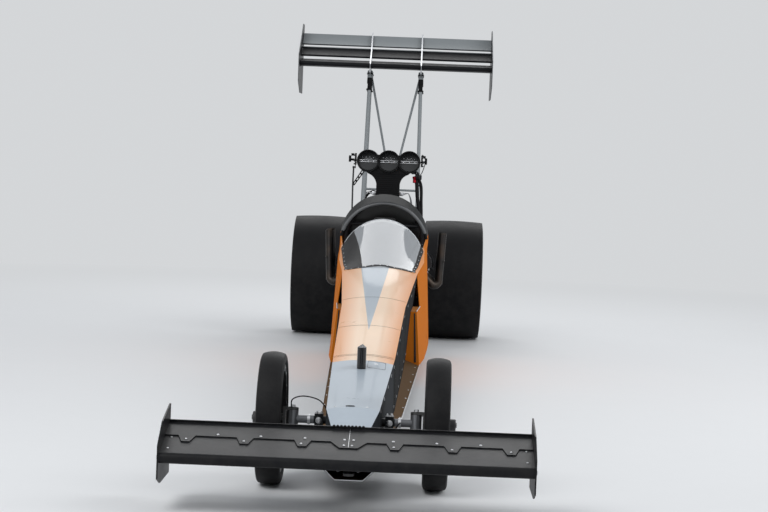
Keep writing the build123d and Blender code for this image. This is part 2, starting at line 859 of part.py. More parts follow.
# Rear frame, with the motor plate, the axle housing's plates and the brake calipers on them
with BuildPart() as rear_frame:
    for side in (-1, 1):
        add_rail(rail_points(lower_rear, side), rail_radius, rail_bend)
        add_rail(rail_points(upper_rear, side), rail_radius, rail_bend)
        for station in rear_uprights:
            tube(rail_at(lower_rear, station, side), rail_at(upper_rear, station, side), brace_radius)
        for foot_station in rear_uprights[:2]:
            foot = rail_at(lower_rear, foot_station, side)
            tube(foot, rail_at(upper_rear, engine_front + diagonal_top, side), brace_radius)
        caliper_width = caliper_end_x - housing_plate_x
        caliper_x = side * (housing_plate_x + caliper_width / 2)
        with Locations((caliper_x, rear_axle_y + caliper_offset, rear_tyre_radius)):
            Box(caliper_width, caliper_length, caliper_height)
        disc_middle = (side * brake_disc_x, rear_axle_y, rear_tyre_radius)
        with Locations(Plane(origin=disc_middle, z_dir=(1, 0, 0))):
            disc_space = brake_disc_thickness + 2 * disc_gap
            Cylinder(brake_disc_radius + disc_gap, disc_space, mode=Mode.SUBTRACT)
        plate_low = lower_rear[-1].z
        with Locations((side * housing_plate_x, rear_axle_y, (plate_low + rear_rail_z) / 2)):
            Box(housing_plate_thickness, housing_plate_length, rear_rail_z - plate_low)
    for station in rear_uprights:
        tube(rail_at(lower_rear, station, -1), rail_at(lower_rear, station, 1), brace_radius)
    tube(rail_at(upper_rear, rear_rail_end, -1), rail_at(upper_rear, rear_rail_end, 1), brace_radius)
    with Locations((0, at(rear_rail_end) + anchor_reach / 2, rear_rail_z)):
        Box(anchor_thickness, anchor_reach, anchor_height)
    with Locations(Plane(origin=(0, at(rear_rail_end) + anchor_reach, rear_rail_z), z_dir=(1, 0, 0))):
        Cylinder(anchor_height / 2, anchor_thickness)
        Cylinder(anchor_radius, 2 * anchor_thickness, mode=Mode.SUBTRACT)
    with Locations((0, at(engine_front) - motor_plate / 2, crank_z + motor_plate_rise)):
        Box(2 * engine_rail_x, motor_plate, motor_plate_height)
    with Locations(Plane(origin=(0, at(engine_front), crank_z), z_dir=(0, 1, 0))):
        Cylinder(crank_snout_radius + 6, 100, mode=Mode.SUBTRACT)
    with Locations(Plane(origin=(0, rear_axle_y, rear_tyre_radius), z_dir=(1, 0, 0))):
        Cylinder(axle_housing_radius + seat_gap, 2 * housing_end + 20, mode=Mode.SUBTRACT)
    split(bisect_by=cross_plane(at(body_end) + seat_gap), keep=Keep.BOTTOM)
save("rear_frame", rear_frame.part)

# Roll cage: a hoop round the driver's head on the upper rails, with a stay forward on each side.
# A weld bead joins its tubes at each shoulder, and their lower ends are coped to the rails
hoop_y = at(hoop_tube_station)
with BuildPart() as roll_cage:
    with BuildLine() as hoop_path:
        ThreePointArc(
            (-cage_shoulder_x, hoop_y, cage_shoulder_z),
            (0, hoop_y, cage_top_z),
            (cage_shoulder_x, hoop_y, cage_shoulder_z),
        )
    with BuildSketch(Plane(origin=hoop_path.line @ 0, z_dir=hoop_path.line % 0)):
        Circle(cage_radius)
    sweep(path=hoop_path.line)
    for side in (-1, 1):
        shoulder = (side * cage_shoulder_x, hoop_y, cage_shoulder_z)
        with Locations(shoulder):
            Sphere(cage_radius + weld_bead)
        tube(rail_at(upper_front, hoop_tube_station, side), shoulder, cage_radius)
        tube(rail_at(upper_front, cage_front_station, side), shoulder, brace_radius)
    for side in (-1, 1):
        add_rail(rail_points(upper_front, side), rail_radius + seat_gap, rail_bend, Mode.SUBTRACT)
save("roll_cage", roll_cage.part)

# Seat: a bucket with a raked back and raised sides, standing on the cross tube below the driver
seat_floor_z = rail_at(lower_front, front_uprights[-1], 1)[2] + brace_radius + seat_gap
seat_y = at(seat_front)
hip_y = seat_y + seat_length
back_y = hip_y + seat_lean
cushion_z = seat_floor_z + seat_pad


def seat_profile(x, sides):
    """Side view of the seat, with its upper surface raised for the sides."""
    with BuildSketch(side_plane(x)) as profile:
        with BuildLine():
            Polyline(
                (seat_y, seat_floor_z),
                (seat_y, seat_floor_z + seat_lip),
                (seat_y + seat_knee_run, cushion_z + sides),
                (hip_y - sides, cushion_z + sides),
                (back_y - seat_pad - sides * 0.6, seat_top_z),
                (back_y, seat_top_z),
                (hip_y + seat_pad, seat_floor_z),
                close=True,
            )
        make_face()
    return profile.sketch


with BuildPart() as seat:
    extrude(seat_profile(0, 0), amount=seat_half_width, both=True)
    for side in (-1, 1):
        extrude(seat_profile(side * seat_half_width, seat_side_height), amount=-side * seat_side_thickness)
save("seat", seat.part)

# Steering wheel: a butterfly of two grips on a hub, with its column through the dash hoop
with BuildPart() as steering_wheel:
    with Locations(wheel_plane):
        Cylinder(column_radius, column_length, align=(Align.CENTER, Align.CENTER, Align.MAX))
        Cylinder(wheel_hub_radius, grip_thickness, align=(Align.CENTER, Align.CENTER, Align.MIN))
    with BuildSketch(wheel_plane):
        Rectangle(2 * grip_x, grip_thickness)
        for side in (-1, 1):
            with Locations((side * grip_x, 0)):
                SlotOverall(grip_length, grip_thickness * 1.3, rotation=90)
    extrude(amount=grip_thickness)
save("steering_wheel", steering_wheel.part)

# Engine: a V block with its oil pan in one piece, a pump on each side of its front face, and a
# magneto on a bracket over each
bank = radians(45)


def bank_point(distance, along):
    """Point in the front view: up the left bank's axis, and across it outwards and down."""
    return (
        distance * sin(bank) + along * cos(bank),
        crank_z + distance * cos(bank) - along * sin(bank),
    )


outer = bank_point(deck_distance, deck_half_width)
inner = bank_point(deck_distance, -deck_half_width)
with BuildPart() as engine_block:
    with BuildSketch(cross_plane(at(engine_front))):
        with BuildLine():
            Polyline(
                (0, inner[1] - valley_depth),
                inner,
                outer,
                (skirt_x + 20, crank_z),
                (skirt_x, pan_rail_z),
                (pan_x, pan_rail_z),
                (pan_x, pan_bottom_z),
                (0, pan_bottom_z),
                close=True,
            )
        make_face()
        mirror(about=Plane.YZ)
    extrude(amount=-engine_length)
    block_y = at(engine_front)
    tube((0, block_y, crank_z), (0, block_y - snout_length, crank_z), crank_snout_radius)
    bracket_depth = magneto_setback + magneto_radius
    bracket_top = magneto_foot_z + magneto_foot_height
    cap_z = bracket_top + magneto_body_height
    foot_place = (block_y - bracket_depth / 2, magneto_foot_z + magneto_foot_height / 2)
    for side in (-1, 1):
        tube((side * pump_x, block_y - pump_length, pump_z), (side * pump_x, block_y, pump_z), pump_radius)
        with Locations((side * magneto_x, *foot_place)):
            Box(2 * magneto_radius, bracket_depth, magneto_foot_height)
        with Locations((side * magneto_x, block_y - magneto_setback, bracket_top)):
            Cylinder(magneto_radius, magneto_body_height, align=(Align.CENTER, Align.CENTER, Align.MIN))
        with Locations((side * magneto_x, block_y - magneto_setback, cap_z)):
            Cylinder(magneto_cap_radius, magneto_cap_height, align=(Align.CENTER, Align.CENTER, Align.MIN))
save("engine_block", engine_block.part)

with BuildPart() as cylinder_heads:
    with BuildSketch(cross_plane(at(engine_front) + head_inset)):
        with BuildLine():
            Polyline(
                bank_point(deck_distance, -head_half_width),
                bank_point(deck_distance + head_thickness, -head_half_width),
                bank_point(deck_distance + head_thickness, head_half_width),
                bank_point(deck_distance, head_half_width),
                close=True,
            )
        make_face()
        mirror(about=Plane.YZ)
    extrude(amount=-(engine_length - 2 * head_inset))
save("cylinder_heads", cylinder_heads.part)

# Valve covers: a flange below a rounded roof
cover_base = deck_distance + head_thickness
cover_body = cover_half_width * cover_body_share
cover_shoulder = cover_base + cover_thickness * 0.55
with BuildPart() as valve_covers:
    with BuildSketch(cross_plane(at(engine_front) + head_inset)):
        with BuildLine():
            Polyline(
                bank_point(cover_shoulder, -cover_body),
                bank_point(cover_base + cover_flange, -cover_body),
                bank_point(cover_base + cover_flange, -cover_half_width),
                bank_point(cover_base, -cover_half_width),
                bank_point(cover_base, cover_half_width),
                bank_point(cover_base + cover_flange, cover_half_width),
                bank_point(cover_base + cover_flange, cover_body),
                bank_point(cover_shoulder, cover_body),
            )
            ThreePointArc(
                bank_point(cover_shoulder, cover_body),
                bank_point(cover_base + cover_thickness, 0),
                bank_point(cover_shoulder, -cover_body),
            )
        make_face()
        mirror(about=Plane.YZ)
    extrude(amount=-(engine_length - 2 * head_inset))
save("valve_covers", valve_covers.part)

# Intake manifold, seated between the heads
lean = seat_gap / cos(bank)
low_z = inner[1] + 4
high_z = bank_point(deck_distance + head_thickness * 0.8, -head_half_width)[1]
head_face = inner[0] - inner[1] + (deck_half_width - head_half_width) * 2 * cos(bank) - lean
with BuildPart() as manifold:
    with BuildSketch(cross_plane(at(engine_front) + head_inset)):
        with BuildLine():
            Polyline(
                (0, low_z),
                (low_z + head_face, low_z),
                (high_z + head_face, high_z),
                (blower_half_width * 0.8, manifold_top_z),
                (0, manifold_top_z),
                close=True,
            )
        make_face()
        mirror(about=Plane.YZ)
    extrude(amount=-(engine_length - 2 * head_inset))
save("manifold", manifold.part)

# Supercharger: two rotor bores in one ribbed case between a lower and an upper flange, with an
# end plate at each end and the drive's nose in front
blower_front = engine_front + (engine_length - blower_length) / 2
blower_y = at(blower_front)
rotor_z = manifold_top_z + blower_height / 2
rib_pitch = (blower_length - 2 * blower_plate) / (blower_ribs + 1)


def blower_face(y, grow):
    """Round sides of the blower's case, grown outwards for its ribs and end plates."""
    with BuildSketch(cross_plane(y)) as face:
        with Locations((-rotor_x, rotor_z), (rotor_x, rotor_z)):
            Circle(blower_half_width - rotor_x + grow)
    return face.sketch


with BuildPart() as supercharger:
    with BuildSketch(cross_plane(blower_y)):
        with Locations((0, rotor_z)):
            Rectangle(blower_half_width * 1.1, blower_height)
        with Locations((0, manifold_top_z + flange_thickness / 2)):
            Rectangle(2 * blower_half_width - 20, flange_thickness)
        with Locations((0, manifold_top_z + blower_height - flange_thickness / 2)):
            Rectangle(2 * blower_half_width - 40, flange_thickness)
    extrude(amount=-blower_length)
    extrude(blower_face(blower_y, 0), amount=-blower_length)
    for plate_y in (blower_y, blower_y + blower_length - blower_plate):
        extrude(blower_face(plate_y, blower_rib_height), amount=-blower_plate)
    for index in range(blower_ribs):
        rib_y = blower_y + blower_plate + (index + 1) * rib_pitch - blower_rib_width / 2
        extrude(blower_face(rib_y, blower_rib_height), amount=-blower_rib_width)
    with Locations(Plane(origin=(0, blower_y, rotor_z), z_dir=(0, -1, 0))):
        Cylinder(nose_cover_radius, nose_cover_length, align=(Align.CENTER, Align.CENTER, Align.MIN))
        Cylinder(drive_nose_radius, drive_nose_length, align=(Align.CENTER, Align.CENTER, Align.MIN))
save("supercharger", supercharger.part)

# Blower drive: a pulley on the crankshaft's snout, one on the blower's nose, and the belt round both
with BuildPart() as drive_pulleys:
    belt_y = at(engine_front) - belt_middle
    for z, radius, bore in (
        (crank_z, crank_pulley_radius, crank_snout_radius),
        (rotor_z, blower_pulley_radius, drive_nose_radius),
    ):
        with Locations(Plane(origin=(0, belt_y, z), z_dir=(0, 1, 0))):
            Cylinder(radius, belt_width + 8)
            Cylinder(bore + pin_gap, 2 * belt_width, mode=Mode.SUBTRACT)
save("drive_pulleys", drive_pulleys.part)

with BuildPart() as drive_belt:
    with BuildSketch(cross_plane(belt_y - belt_width / 2)) as belt_face:
        with Locations((0, crank_z)):
            Circle(crank_pulley_radius + belt_thickness)
        with Locations((0, rotor_z)):
            Circle(blower_pulley_radius + belt_thickness)
        make_hull()
        with Locations((0, crank_z)):
            Circle(crank_pulley_radius + seat_gap, mode=Mode.SUBTRACT)
        with Locations((0, rotor_z)):
            Circle(blower_pulley_radius + seat_gap, mode=Mode.SUBTRACT)
    with BuildSketch(cross_plane(belt_y - belt_width / 2)) as belt_gap:
        with Locations((0, crank_z)):
            Circle(crank_pulley_radius + seat_gap)
        with Locations((0, rotor_z)):
            Circle(blower_pulley_radius + seat_gap)
        make_hull()
    extrude(belt_face.sketch - belt_gap.sketch, amount=-belt_width)
save("drive_belt", drive_belt.part)

# Injector hat: three round barrels with rolled lips, on a waisted neck that sweeps back to its foot
hat_front = at(hat_front_station)
hat_base_z = manifold_top_z + blower_height
foot_top_z = hat_base_z + flange_thickness
web_z = inlet_z + hat_web_rise
web_x = inlet_pitch + hat_web_reach
hat_back = hat_front + hat_length
inlet_xs = (-inlet_pitch, 0, inlet_pitch)
lip_middle = (inlet_bore + inlet_radius) / 2
dome = inlet_radius * sin(radians(45))
with BuildPart() as injector_hat:
    with BuildSketch(cross_plane(hat_front)):
        with BuildLine():
            Polyline(
                (0, web_z),
                (web_x, web_z),
                (web_x, inlet_z - hat_cheek_drop),
                (hat_flare_x, inlet_z - hat_flare_drop),
            )
            ThreePointArc(
                (hat_flare_x, inlet_z - hat_flare_drop),
                (hat_curve_x, inlet_z - hat_curve_drop),
                (hat_waist_x, inlet_z - hat_waist_drop),
            )
            Polyline(
                (hat_waist_x, inlet_z - hat_waist_drop),
                (hat_waist_x, foot_top_z),
                (hat_foot_x, foot_top_z),
                (hat_foot_x, hat_base_z),
                (0, hat_base_z),
                (0, web_z),
            )
        make_face()
        mirror(about=Plane.YZ)
    extrude(amount=-hat_length)
    with BuildSketch(side_plane(0)):
        with BuildLine():
            ThreePointArc(
                (hat_front + barrel_length, web_z),
                (hat_front + hat_shoulder_reach, inlet_z - hat_shoulder_drop),
                (hat_back, hat_base_z + hat_tail_height),
            )
            Polyline(
                (hat_back, hat_base_z + hat_tail_height),
                (hat_back, hat_base_z),
                (hat_front + hat_neck_setback, hat_base_z),
                (hat_front, inlet_z - inlet_radius),
                (hat_front, web_z),
                (hat_front + barrel_length, web_z),
            )
        make_face()
    extrude(amount=web_x, both=True, mode=Mode.INTERSECT)
    for x in inlet_xs:
        with BuildSketch(side_plane(x, hat_front, inlet_z)):
            with BuildLine():
                Polyline((barrel_length + inlet_radius, 0), (-inlet_reach, 0), (-inlet_reach, inlet_bore))
                ThreePointArc(
                    (-inlet_reach, inlet_bore),
                    (-inlet_reach - inlet_lip, lip_middle),
                    (-inlet_reach, inlet_radius),
                )
                Line((-inlet_reach, inlet_radius), (barrel_length, inlet_radius))
                ThreePointArc(
                    (barrel_length, inlet_radius),
                    (barrel_length + dome, dome),
                    (barrel_length + inlet_radius, 0),
                )
            make_face()
        revolve(axis=Axis((x, hat_front, inlet_z), (0, 1, 0)))
    bore_front = hat_front - inlet_reach - inlet_lip
    for x in inlet_xs:
        bore_back = (x, hat_front + inlet_depth, inlet_z)
        tube((x, bore_front, inlet_z), bore_back, inlet_bore, Mode.SUBTRACT)
    with Locations(Plane(origin=(0, hat_front + blade_setback, inlet_z), z_dir=(1, 0, 0))):
        Cylinder(blade_shaft_radius + pin_gap, 4 * (inlet_pitch + inlet_radius), mode=Mode.SUBTRACT)
save("injector_hat", injector_hat.part)

# Throttle blades: three leaning discs on one shaft across the inlets, with a lever at each end
shaft_y = hat_front + blade_setback
lever_reach = (lever_length - lever_width) / 2
with BuildPart() as throttle_blades:
    with Locations(Plane(origin=(0, shaft_y, inlet_z), z_dir=(1, 0, 0))):
        Cylinder(blade_shaft_radius, 2 * (inlet_pitch + inlet_radius + blade_overhang))
    blade_normal = (0, cos(radians(blade_tilt)), -sin(radians(blade_tilt)))
    for x in inlet_xs:
        with Locations(Plane(origin=(x, shaft_y, inlet_z), z_dir=blade_normal)):
            Cylinder(inlet_bore - seat_gap, blade_thickness)
    for side in (-1, 1):
        turn = radians(side * lever_angle)
        with BuildSketch(side_plane(side * (inlet_pitch + inlet_radius + lever_gap), shaft_y, inlet_z)):
            with Locations((lever_reach * cos(turn), lever_reach * sin(turn))):
                SlotOverall(lever_length, lever_width, rotation=side * lever_angle)
        extrude(amount=side * lever_thickness)
save("throttle_blades", throttle_blades.part)

# Exhaust headers: four pipes a side, each with its flange on the head, out and up past the covers
port = bank_point(deck_distance + head_thickness / 2, head_half_width)
with BuildPart() as headers:
    for side in (-1, 1):
        for index in range(4):
            port_y = at(engine_front) + first_port + index * bore_pitch
            points = [
                (side * port[0], port_y, port[1]),
                (side * (port[0] + header_drop), port_y, port[1] - header_drop),
                (side * header_x, port_y + header_sweep / 4, header_low_z),
                (side * header_top_x, port_y + header_sweep, header_top_z),
            ]
            with BuildLine() as pipe_path:
                FilletPolyline(*points, radius=header_bend)
            with BuildSketch(Plane(origin=pipe_path.line @ 0, z_dir=pipe_path.line % 0)) as pipe_ring:
                Circle(header_radius)
                Circle(header_radius - header_wall, mode=Mode.SUBTRACT)
            sweep(pipe_ring.sketch, path=pipe_path.line)
            flange_plane = Plane(origin=points[0], x_dir=(0, 1, 0), z_dir=(side, 0, -1))
            with BuildSketch(flange_plane):
                Rectangle(header_flange_length, header_flange_width)
                Circle(header_radius - header_wall, mode=Mode.SUBTRACT)
            extrude(amount=header_flange_thickness)
save("headers", headers.part)

# Clutch can behind the block, and the coupler to the rear axle's pinion
with BuildPart() as clutch_can:
    can_front = at(engine_front + engine_length)
    with BuildSketch(side_plane(0, 0, crank_z)):
        with BuildLine():
            Polyline(
                (can_front, 0),
                (can_front, clutch_radius + 14),
                (can_front + 12, clutch_radius + 14),
                (can_front + 12, clutch_radius),
                (can_front + clutch_length * 0.7, clutch_radius),
                (can_front + clutch_length, clutch_radius * 0.55),
                (can_front + clutch_length, coupler_radius),
                (rear_axle_y - pinion_reach, coupler_radius),
                (rear_axle_y - pinion_reach, 0),
                close=True,
            )
        make_face()
    revolve(axis=Axis((0, can_front, crank_z), (0, 1, 0)))
save("clutch_can", clutch_can.part)


def wing_section(chord, thickness, camber):
    """Wing profile with its nose at the local origin and its tail along local x, hollow side up."""
    nose = 0.05 * chord
    with BuildLine() as outline:
        ThreePointArc((chord, -1), (0.45 * chord, -camber - thickness / 2), (nose, -0.4 * thickness))
        ThreePointArc((nose, -0.4 * thickness), (0, 0), (nose, 0.4 * thickness))
        ThreePointArc((nose, 0.4 * thickness), (0.45 * chord, thickness / 2 - camber), (chord, 1))
        Line((chord, 1), (chord, -1))
    return outline.line


def wing_plane(x, y, z, tilt):
    """Plane along the car with local x tipped up by the wing's angle."""
    return Plane(origin=(x, y, z), x_dir=(0, cos(radians(tilt)), sin(radians(tilt))), z_dir=(1, 0, 0))


# Rear wing: a main plane and two flaps, slotted for the ribs that carry them
Element = namedtuple("Element", "station z chord thickness camber tilt")
wing_elements = [
    Element(wheelbase + 82, wing_z, 268, 44, 16, 10),
    Element(wheelbase + 328, wing_z + 70, 158, 20, 12, 30),
    Element(wheelbase + 458, wing_z + 164, 140, 16, 10, 42),
]
main_plane, first_flap, last_flap = wing_elements

# Corners of the plates across the wing, each behind and over the nose of one element
Corner = namedtuple("Corner", "element back up")
endplate_corners = [
    Corner(main_plane, -42, -138),
    Corner(main_plane, -62, 72),
    Corner(first_flap, -18, 162),
    Corner(last_flap, 2, 163),
    Corner(last_flap, 147, 163),
    Corner(main_plane, 523, -226),
    Corner(main_plane, 198, -226),
]
rib_corners = [
    Corner(main_plane, 28, 12),
    Corner(first_flap, 12, 47),
    Corner(last_flap, 97, 116),
    Corner(last_flap, 112, 88),
    Corner(main_plane, 378, -48),
    Corner(main_plane, 98, -78),
    Corner(main_plane, 28, -48),
]


def wing_plate(x, corners):
    """Upright plate's outline through its corners."""
    points = [(at(row.element.station + row.back), row.element.z + row.up) for row in corners]
    with BuildSketch(side_plane(x)) as plate:
        with BuildLine():
            Polyline(points, close=True)
        make_face()
    return plate.sketch


def wing_element(element):
    """One element across the whole span, with a slot for each rib."""
    plane = wing_plane(-wing_half_span, at(element.station), element.z, element.tilt)
    with BuildPart() as body:
        with BuildSketch(plane):
            add(wing_section(element.chord, element.thickness, element.camber))
            make_face()
        extrude(amount=2 * wing_half_span)
        for x in both_sides(rib_x):
            with Locations((x, at(element.station) + element.chord / 2, element.z)):
                Box(rib_thickness + 2 * seat_gap, 2 * element.chord, 2 * element.chord, mode=Mode.SUBTRACT)
    return body.part


with BuildPart() as rear_wing:
    for element in wing_elements:
        add(wing_element(element))
save("rear_wing", rear_wing.part)

with BuildPart() as rear_endplates:
    for side in (-1, 1):
        plate_x = side * (wing_half_span + seat_gap)
        extrude(wing_plate(plate_x, endplate_corners), amount=side * endplate_thickness)
save("rear_endplates", rear_endplates.part)

# Wing stand: ribs on four legs with an adjuster under each rib's corner, and a V brace and a
# cross tube between the rear pair
with BuildPart() as wing_stand:
    for side in (-1, 1):
        extrude(wing_plate(side * rib_x - rib_thickness / 2, rib_corners), amount=rib_thickness)
        for foot_station, top_station in stand_legs:
            foot = Vector(side * stand_foot_x, at(foot_station), rear_rail_z)
            top = Vector(side * rib_x, at(top_station), stand_top_z)
            tube(foot, top, stand_radius)
            tube(top + (foot - top).normalized() * adjuster_length, top, adjuster_radius)
        rear_top = (side * rib_x, at(stand_legs[1][1]), stand_top_z)
        tube(rear_top, (0, at(stand_cross_station), stand_v_z), stay_radius)
    tube(
        (-stand_cross_x, at(stand_cross_station), stand_v_z),
        (stand_cross_x, at(stand_cross_station), stand_v_z),
        stay_radius,
    )
    tray_z = pack_z - pack_height / 2 - seat_gap - tray_thickness / 2
    tray_end = pack_station + pack_length
    with Locations((0, at((tray_station + tray_end) / 2), tray_z)):
        Box(2 * stand_foot_x, tray_end - tray_station, tray_thickness)
    for side in (-1, 1):
        add_rail(rail_points(upper_rear, side), rail_radius + seat_gap, rail_bend, Mode.SUBTRACT)
save("wing_stand", wing_stand.part)

# Front wing: a main plane with a round nose, a flap sheet with tabs over it, end plates and
# two carriers
front_wing_plane = wing_plane(0, at(-front_reach + front_nose_radius), front_wing_nose_z, front_wing_tilt)
with BuildPart() as front_plane:
    with BuildSketch(front_wing_plane):
        with BuildLine():
            ThreePointArc((0, -front_nose_radius), (-front_nose_radius, 0), (0, front_nose_radius))
            Line((0, front_nose_radius), (front_wing_chord, front_nose_radius))
            Line((front_wing_chord, front_nose_radius), (front_wing_chord, front_nose_radius - 3))
            ThreePointArc(
                (front_wing_chord, front_nose_radius - 3),
                (front_wing_chord * 0.5, -front_nose_radius * 0.85),
                (0, -front_nose_radius),
            )
        make_face()
    extrude(amount=front_wing_half_span, both=True)

# Tabs of the flap sheet: place across the wing, width at the tip and width at the root
Tab = namedtuple("Tab", "x tip root")
side_tabs = [Tab(182, 33, 67), Tab(410, 33, 67), Tab(640, 33, 67)]
flap_tabs = [Tab(0, 72, 143)] + side_tabs + [tab._replace(x=-tab.x) for tab in side_tabs]
sheet_plane = Plane(
    origin=front_wing_plane.from_local_coords((0, front_nose_radius + seat_gap, 0)),
    x_dir=(1, 0, 0),
    z_dir=(0, -sin(radians(front_wing_tilt)), cos(radians(front_wing_tilt))),
)
tab_front = front_flap_start - tab_depth
with BuildPart() as front_wing:
    add(front_plane.part)
    with BuildSketch(sheet_plane):
        with Locations((0, front_flap_start)):
            Rectangle(
                2 * front_wing_half_span,
                front_flap_end - front_flap_start,
                align=(Align.CENTER, Align.MIN),
            )
        for tab in flap_tabs:
            Polygon(
                (tab.x - tab.root / 2, front_flap_start),
                (tab.x - tab.tip / 2, tab_front),
                (tab.x + tab.tip / 2, tab_front),
                (tab.x + tab.root / 2, front_flap_start),
                align=None,
            )
    extrude(amount=front_flap_thickness)
    with BuildSketch(front_wing_plane):
        with Locations((front_flap_end - front_flap_thickness, front_nose_radius + seat_gap)):
            Rectangle(front_flap_thickness, front_gurney, align=(Align.MIN, Align.MIN))
    extrude(amount=front_wing_half_span, both=True)
save("front_wing", front_wing.part)

with BuildPart() as front_endplates:
    for side in (-1, 1):
        with BuildSketch(side_plane(side * (front_wing_half_span + seat_gap), at(-front_reach))):
            with BuildLine():
                Polyline(
                    (0, front_plate_low_z + plate_chin),
                    (0, front_plate_nose_z),
                    (plate_brow_reach, plate_brow_z),
                    (front_plate_length - plate_tail_flat, front_plate_top_z),
                    (front_plate_length, front_plate_top_z),
                    (front_plate_length, front_plate_low_z),
                    (plate_chin_reach, front_plate_low_z),
                    close=True,
                )
            make_face()
        extrude(amount=side * front_endplate_thickness)
save("front_endplates", front_endplates.part)

carrier_end = at(carrier_tube) - brace_radius - seat_gap
with BuildPart() as front_wing_carriers:
    for side in (-1, 1):
        with BuildSketch(side_plane(side * carrier_x - carrier_thickness / 2)):
            with BuildLine():
                Polyline(
                    (at(carrier_front), carrier_front_low),
                    (at(carrier_front), carrier_front_high),
                    (at(carrier_mouth), carrier_mouth_high),
                    (at(carrier_mouth), carrier_mouth_low),
                    (carrier_end, carrier_end_high),
                    (carrier_end, carrier_end_low),
                    close=True,
                )
            make_face()
        extrude(amount=carrier_thickness)
    with Locations((0, 0, -seat_gap)):
        add(front_plane.part, mode=Mode.SUBTRACT)
save("front_wing_carriers", front_wing_carriers.part)

# Cowl fin: an upright teardrop, standing on the nose cowl's crown
low, high = nose_sections[-2:]
crown_slope = (high.crown_z - low.crown_z) / (high.station - low.station)
fin_plane = Plane(
    origin=(0, at(fin_station), low.crown_z + crown_slope * (fin_station - low.station) + seat_gap),
    x_dir=(1, 0, 0),
    z_dir=(0, -crown_slope, 1),
)
with BuildPart() as cowl_fin:
    with BuildSketch(fin_plane):
        with BuildLine():
            ThreePointArc((-fin_half_width, 0), (0, -fin_half_width), (fin_half_width, 0))
            Polyline((fin_half_width, 0), (0, fin_length), (-fin_half_width, 0))
        make_face()
    extrude(amount=fin_height)
save("cowl_fin", cowl_fin.part)

# Wheelie bars: two long truss arms to a cross shaft with a pair of small wheels
bar_y = rear_axle_y + rear_reach - wheelie_wheel_radius
with BuildPart() as wheelie_bars:
    for side in (-1, 1):
        x = side * wheelie_x
        for rail in (lower_rear, upper_rear):
            tube((x, at(rear_rail_end), rail[-1].z), (x, bar_y, wheelie_wheel_z), brace_radius)
        with Locations(Plane(origin=(x, bar_y, wheelie_wheel_z), z_dir=(1, 0, 0))):
            Cylinder(wheelie_boss_radius, 2 * brace_radius)
    spreader = (bar_y - wheelie_spreader_setback, wheelie_wheel_z + wheelie_spreader_rise)
    tube((-wheelie_x, *spreader), (wheelie_x, *spreader), brace_radius)
    with Locations(Plane(origin=(0, bar_y, wheelie_wheel_z), z_dir=(1, 0, 0))):
        Cylinder(wheelie_shaft_radius + pin_gap, 4 * wheelie_x, mode=Mode.SUBTRACT)
    for rail in (lower_rear, upper_rear):
        left, right = rail_at(rail, rear_rail_end, 1), rail_at(rail, rear_rail_end, -1)
        tube(left, right, brace_radius + seat_gap, Mode.SUBTRACT)
save("wheelie_bars", wheelie_bars.part)

with BuildPart() as wheelie_wheels:
    with Locations(Plane(origin=(0, bar_y, wheelie_wheel_z), z_dir=(1, 0, 0))):
        Cylinder(wheelie_shaft_radius, 2 * (wheelie_x + brace_radius + 6 + wheelie_wheel_width))
        wheel_middle = wheelie_x + brace_radius + 6 + wheelie_wheel_width / 2
        with Locations((0, 0, wheel_middle), (0, 0, -wheel_middle)):
            Cylinder(wheelie_wheel_radius, wheelie_wheel_width)
save("wheelie_wheels", wheelie_wheels.part)

# Parachute packs, side by side behind the wing stand's legs
with BuildPart() as parachute_packs:
    for x in both_sides(pack_x):
        with BuildSketch(cross_plane(at(pack_station), x, pack_z)):
            RectangleRounded(pack_width, pack_height, pack_corner)
        extrude(amount=-pack_length)
save("parachute_packs", parachute_packs.part)
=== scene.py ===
import json
import math

import bmesh
import bpy
from mathutils import Matrix, Vector


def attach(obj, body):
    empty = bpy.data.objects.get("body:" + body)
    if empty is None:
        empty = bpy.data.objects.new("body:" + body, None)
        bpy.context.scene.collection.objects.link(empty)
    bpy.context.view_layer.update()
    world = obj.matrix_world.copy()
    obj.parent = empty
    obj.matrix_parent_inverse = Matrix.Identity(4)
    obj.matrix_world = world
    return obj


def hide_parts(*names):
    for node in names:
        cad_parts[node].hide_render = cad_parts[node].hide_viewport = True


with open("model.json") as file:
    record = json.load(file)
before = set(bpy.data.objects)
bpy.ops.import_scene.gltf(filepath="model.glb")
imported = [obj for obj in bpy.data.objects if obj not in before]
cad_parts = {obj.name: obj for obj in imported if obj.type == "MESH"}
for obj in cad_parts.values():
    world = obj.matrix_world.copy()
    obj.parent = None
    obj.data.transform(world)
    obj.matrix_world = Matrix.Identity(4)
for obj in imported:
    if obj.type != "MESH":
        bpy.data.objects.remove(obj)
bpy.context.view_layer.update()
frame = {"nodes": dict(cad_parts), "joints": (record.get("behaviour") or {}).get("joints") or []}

print("stage: frame loaded, with", len(frame["nodes"]), "nodes")

nodes = frame["nodes"]
joints = {joint["name"]: joint for joint in frame["joints"]}
frontAxle = Vector(joints["front_spin_left"]["pos_m"])
rearAxle = Vector(joints["rear_spin"]["pos_m"])
sides = (-1, 1)


def station(distance):
    return frontAxle.y + distance  # distance behind the front axle, in metres


def showObject(name, data):
    shown = bpy.data.objects.new(name, data)
    bpy.context.scene.collection.objects.link(shown)
    return shown


# camera, placed as the photograph was taken
cameraSetup = {
    "place": (0.2508, -13.0899, 1.4263),
    "turn": (-0.971, 2.788, 2.284),  # yaw, pitch and roll in degrees
    "lens": 99.77, "sensor": 36.0, "reach": 200,
}


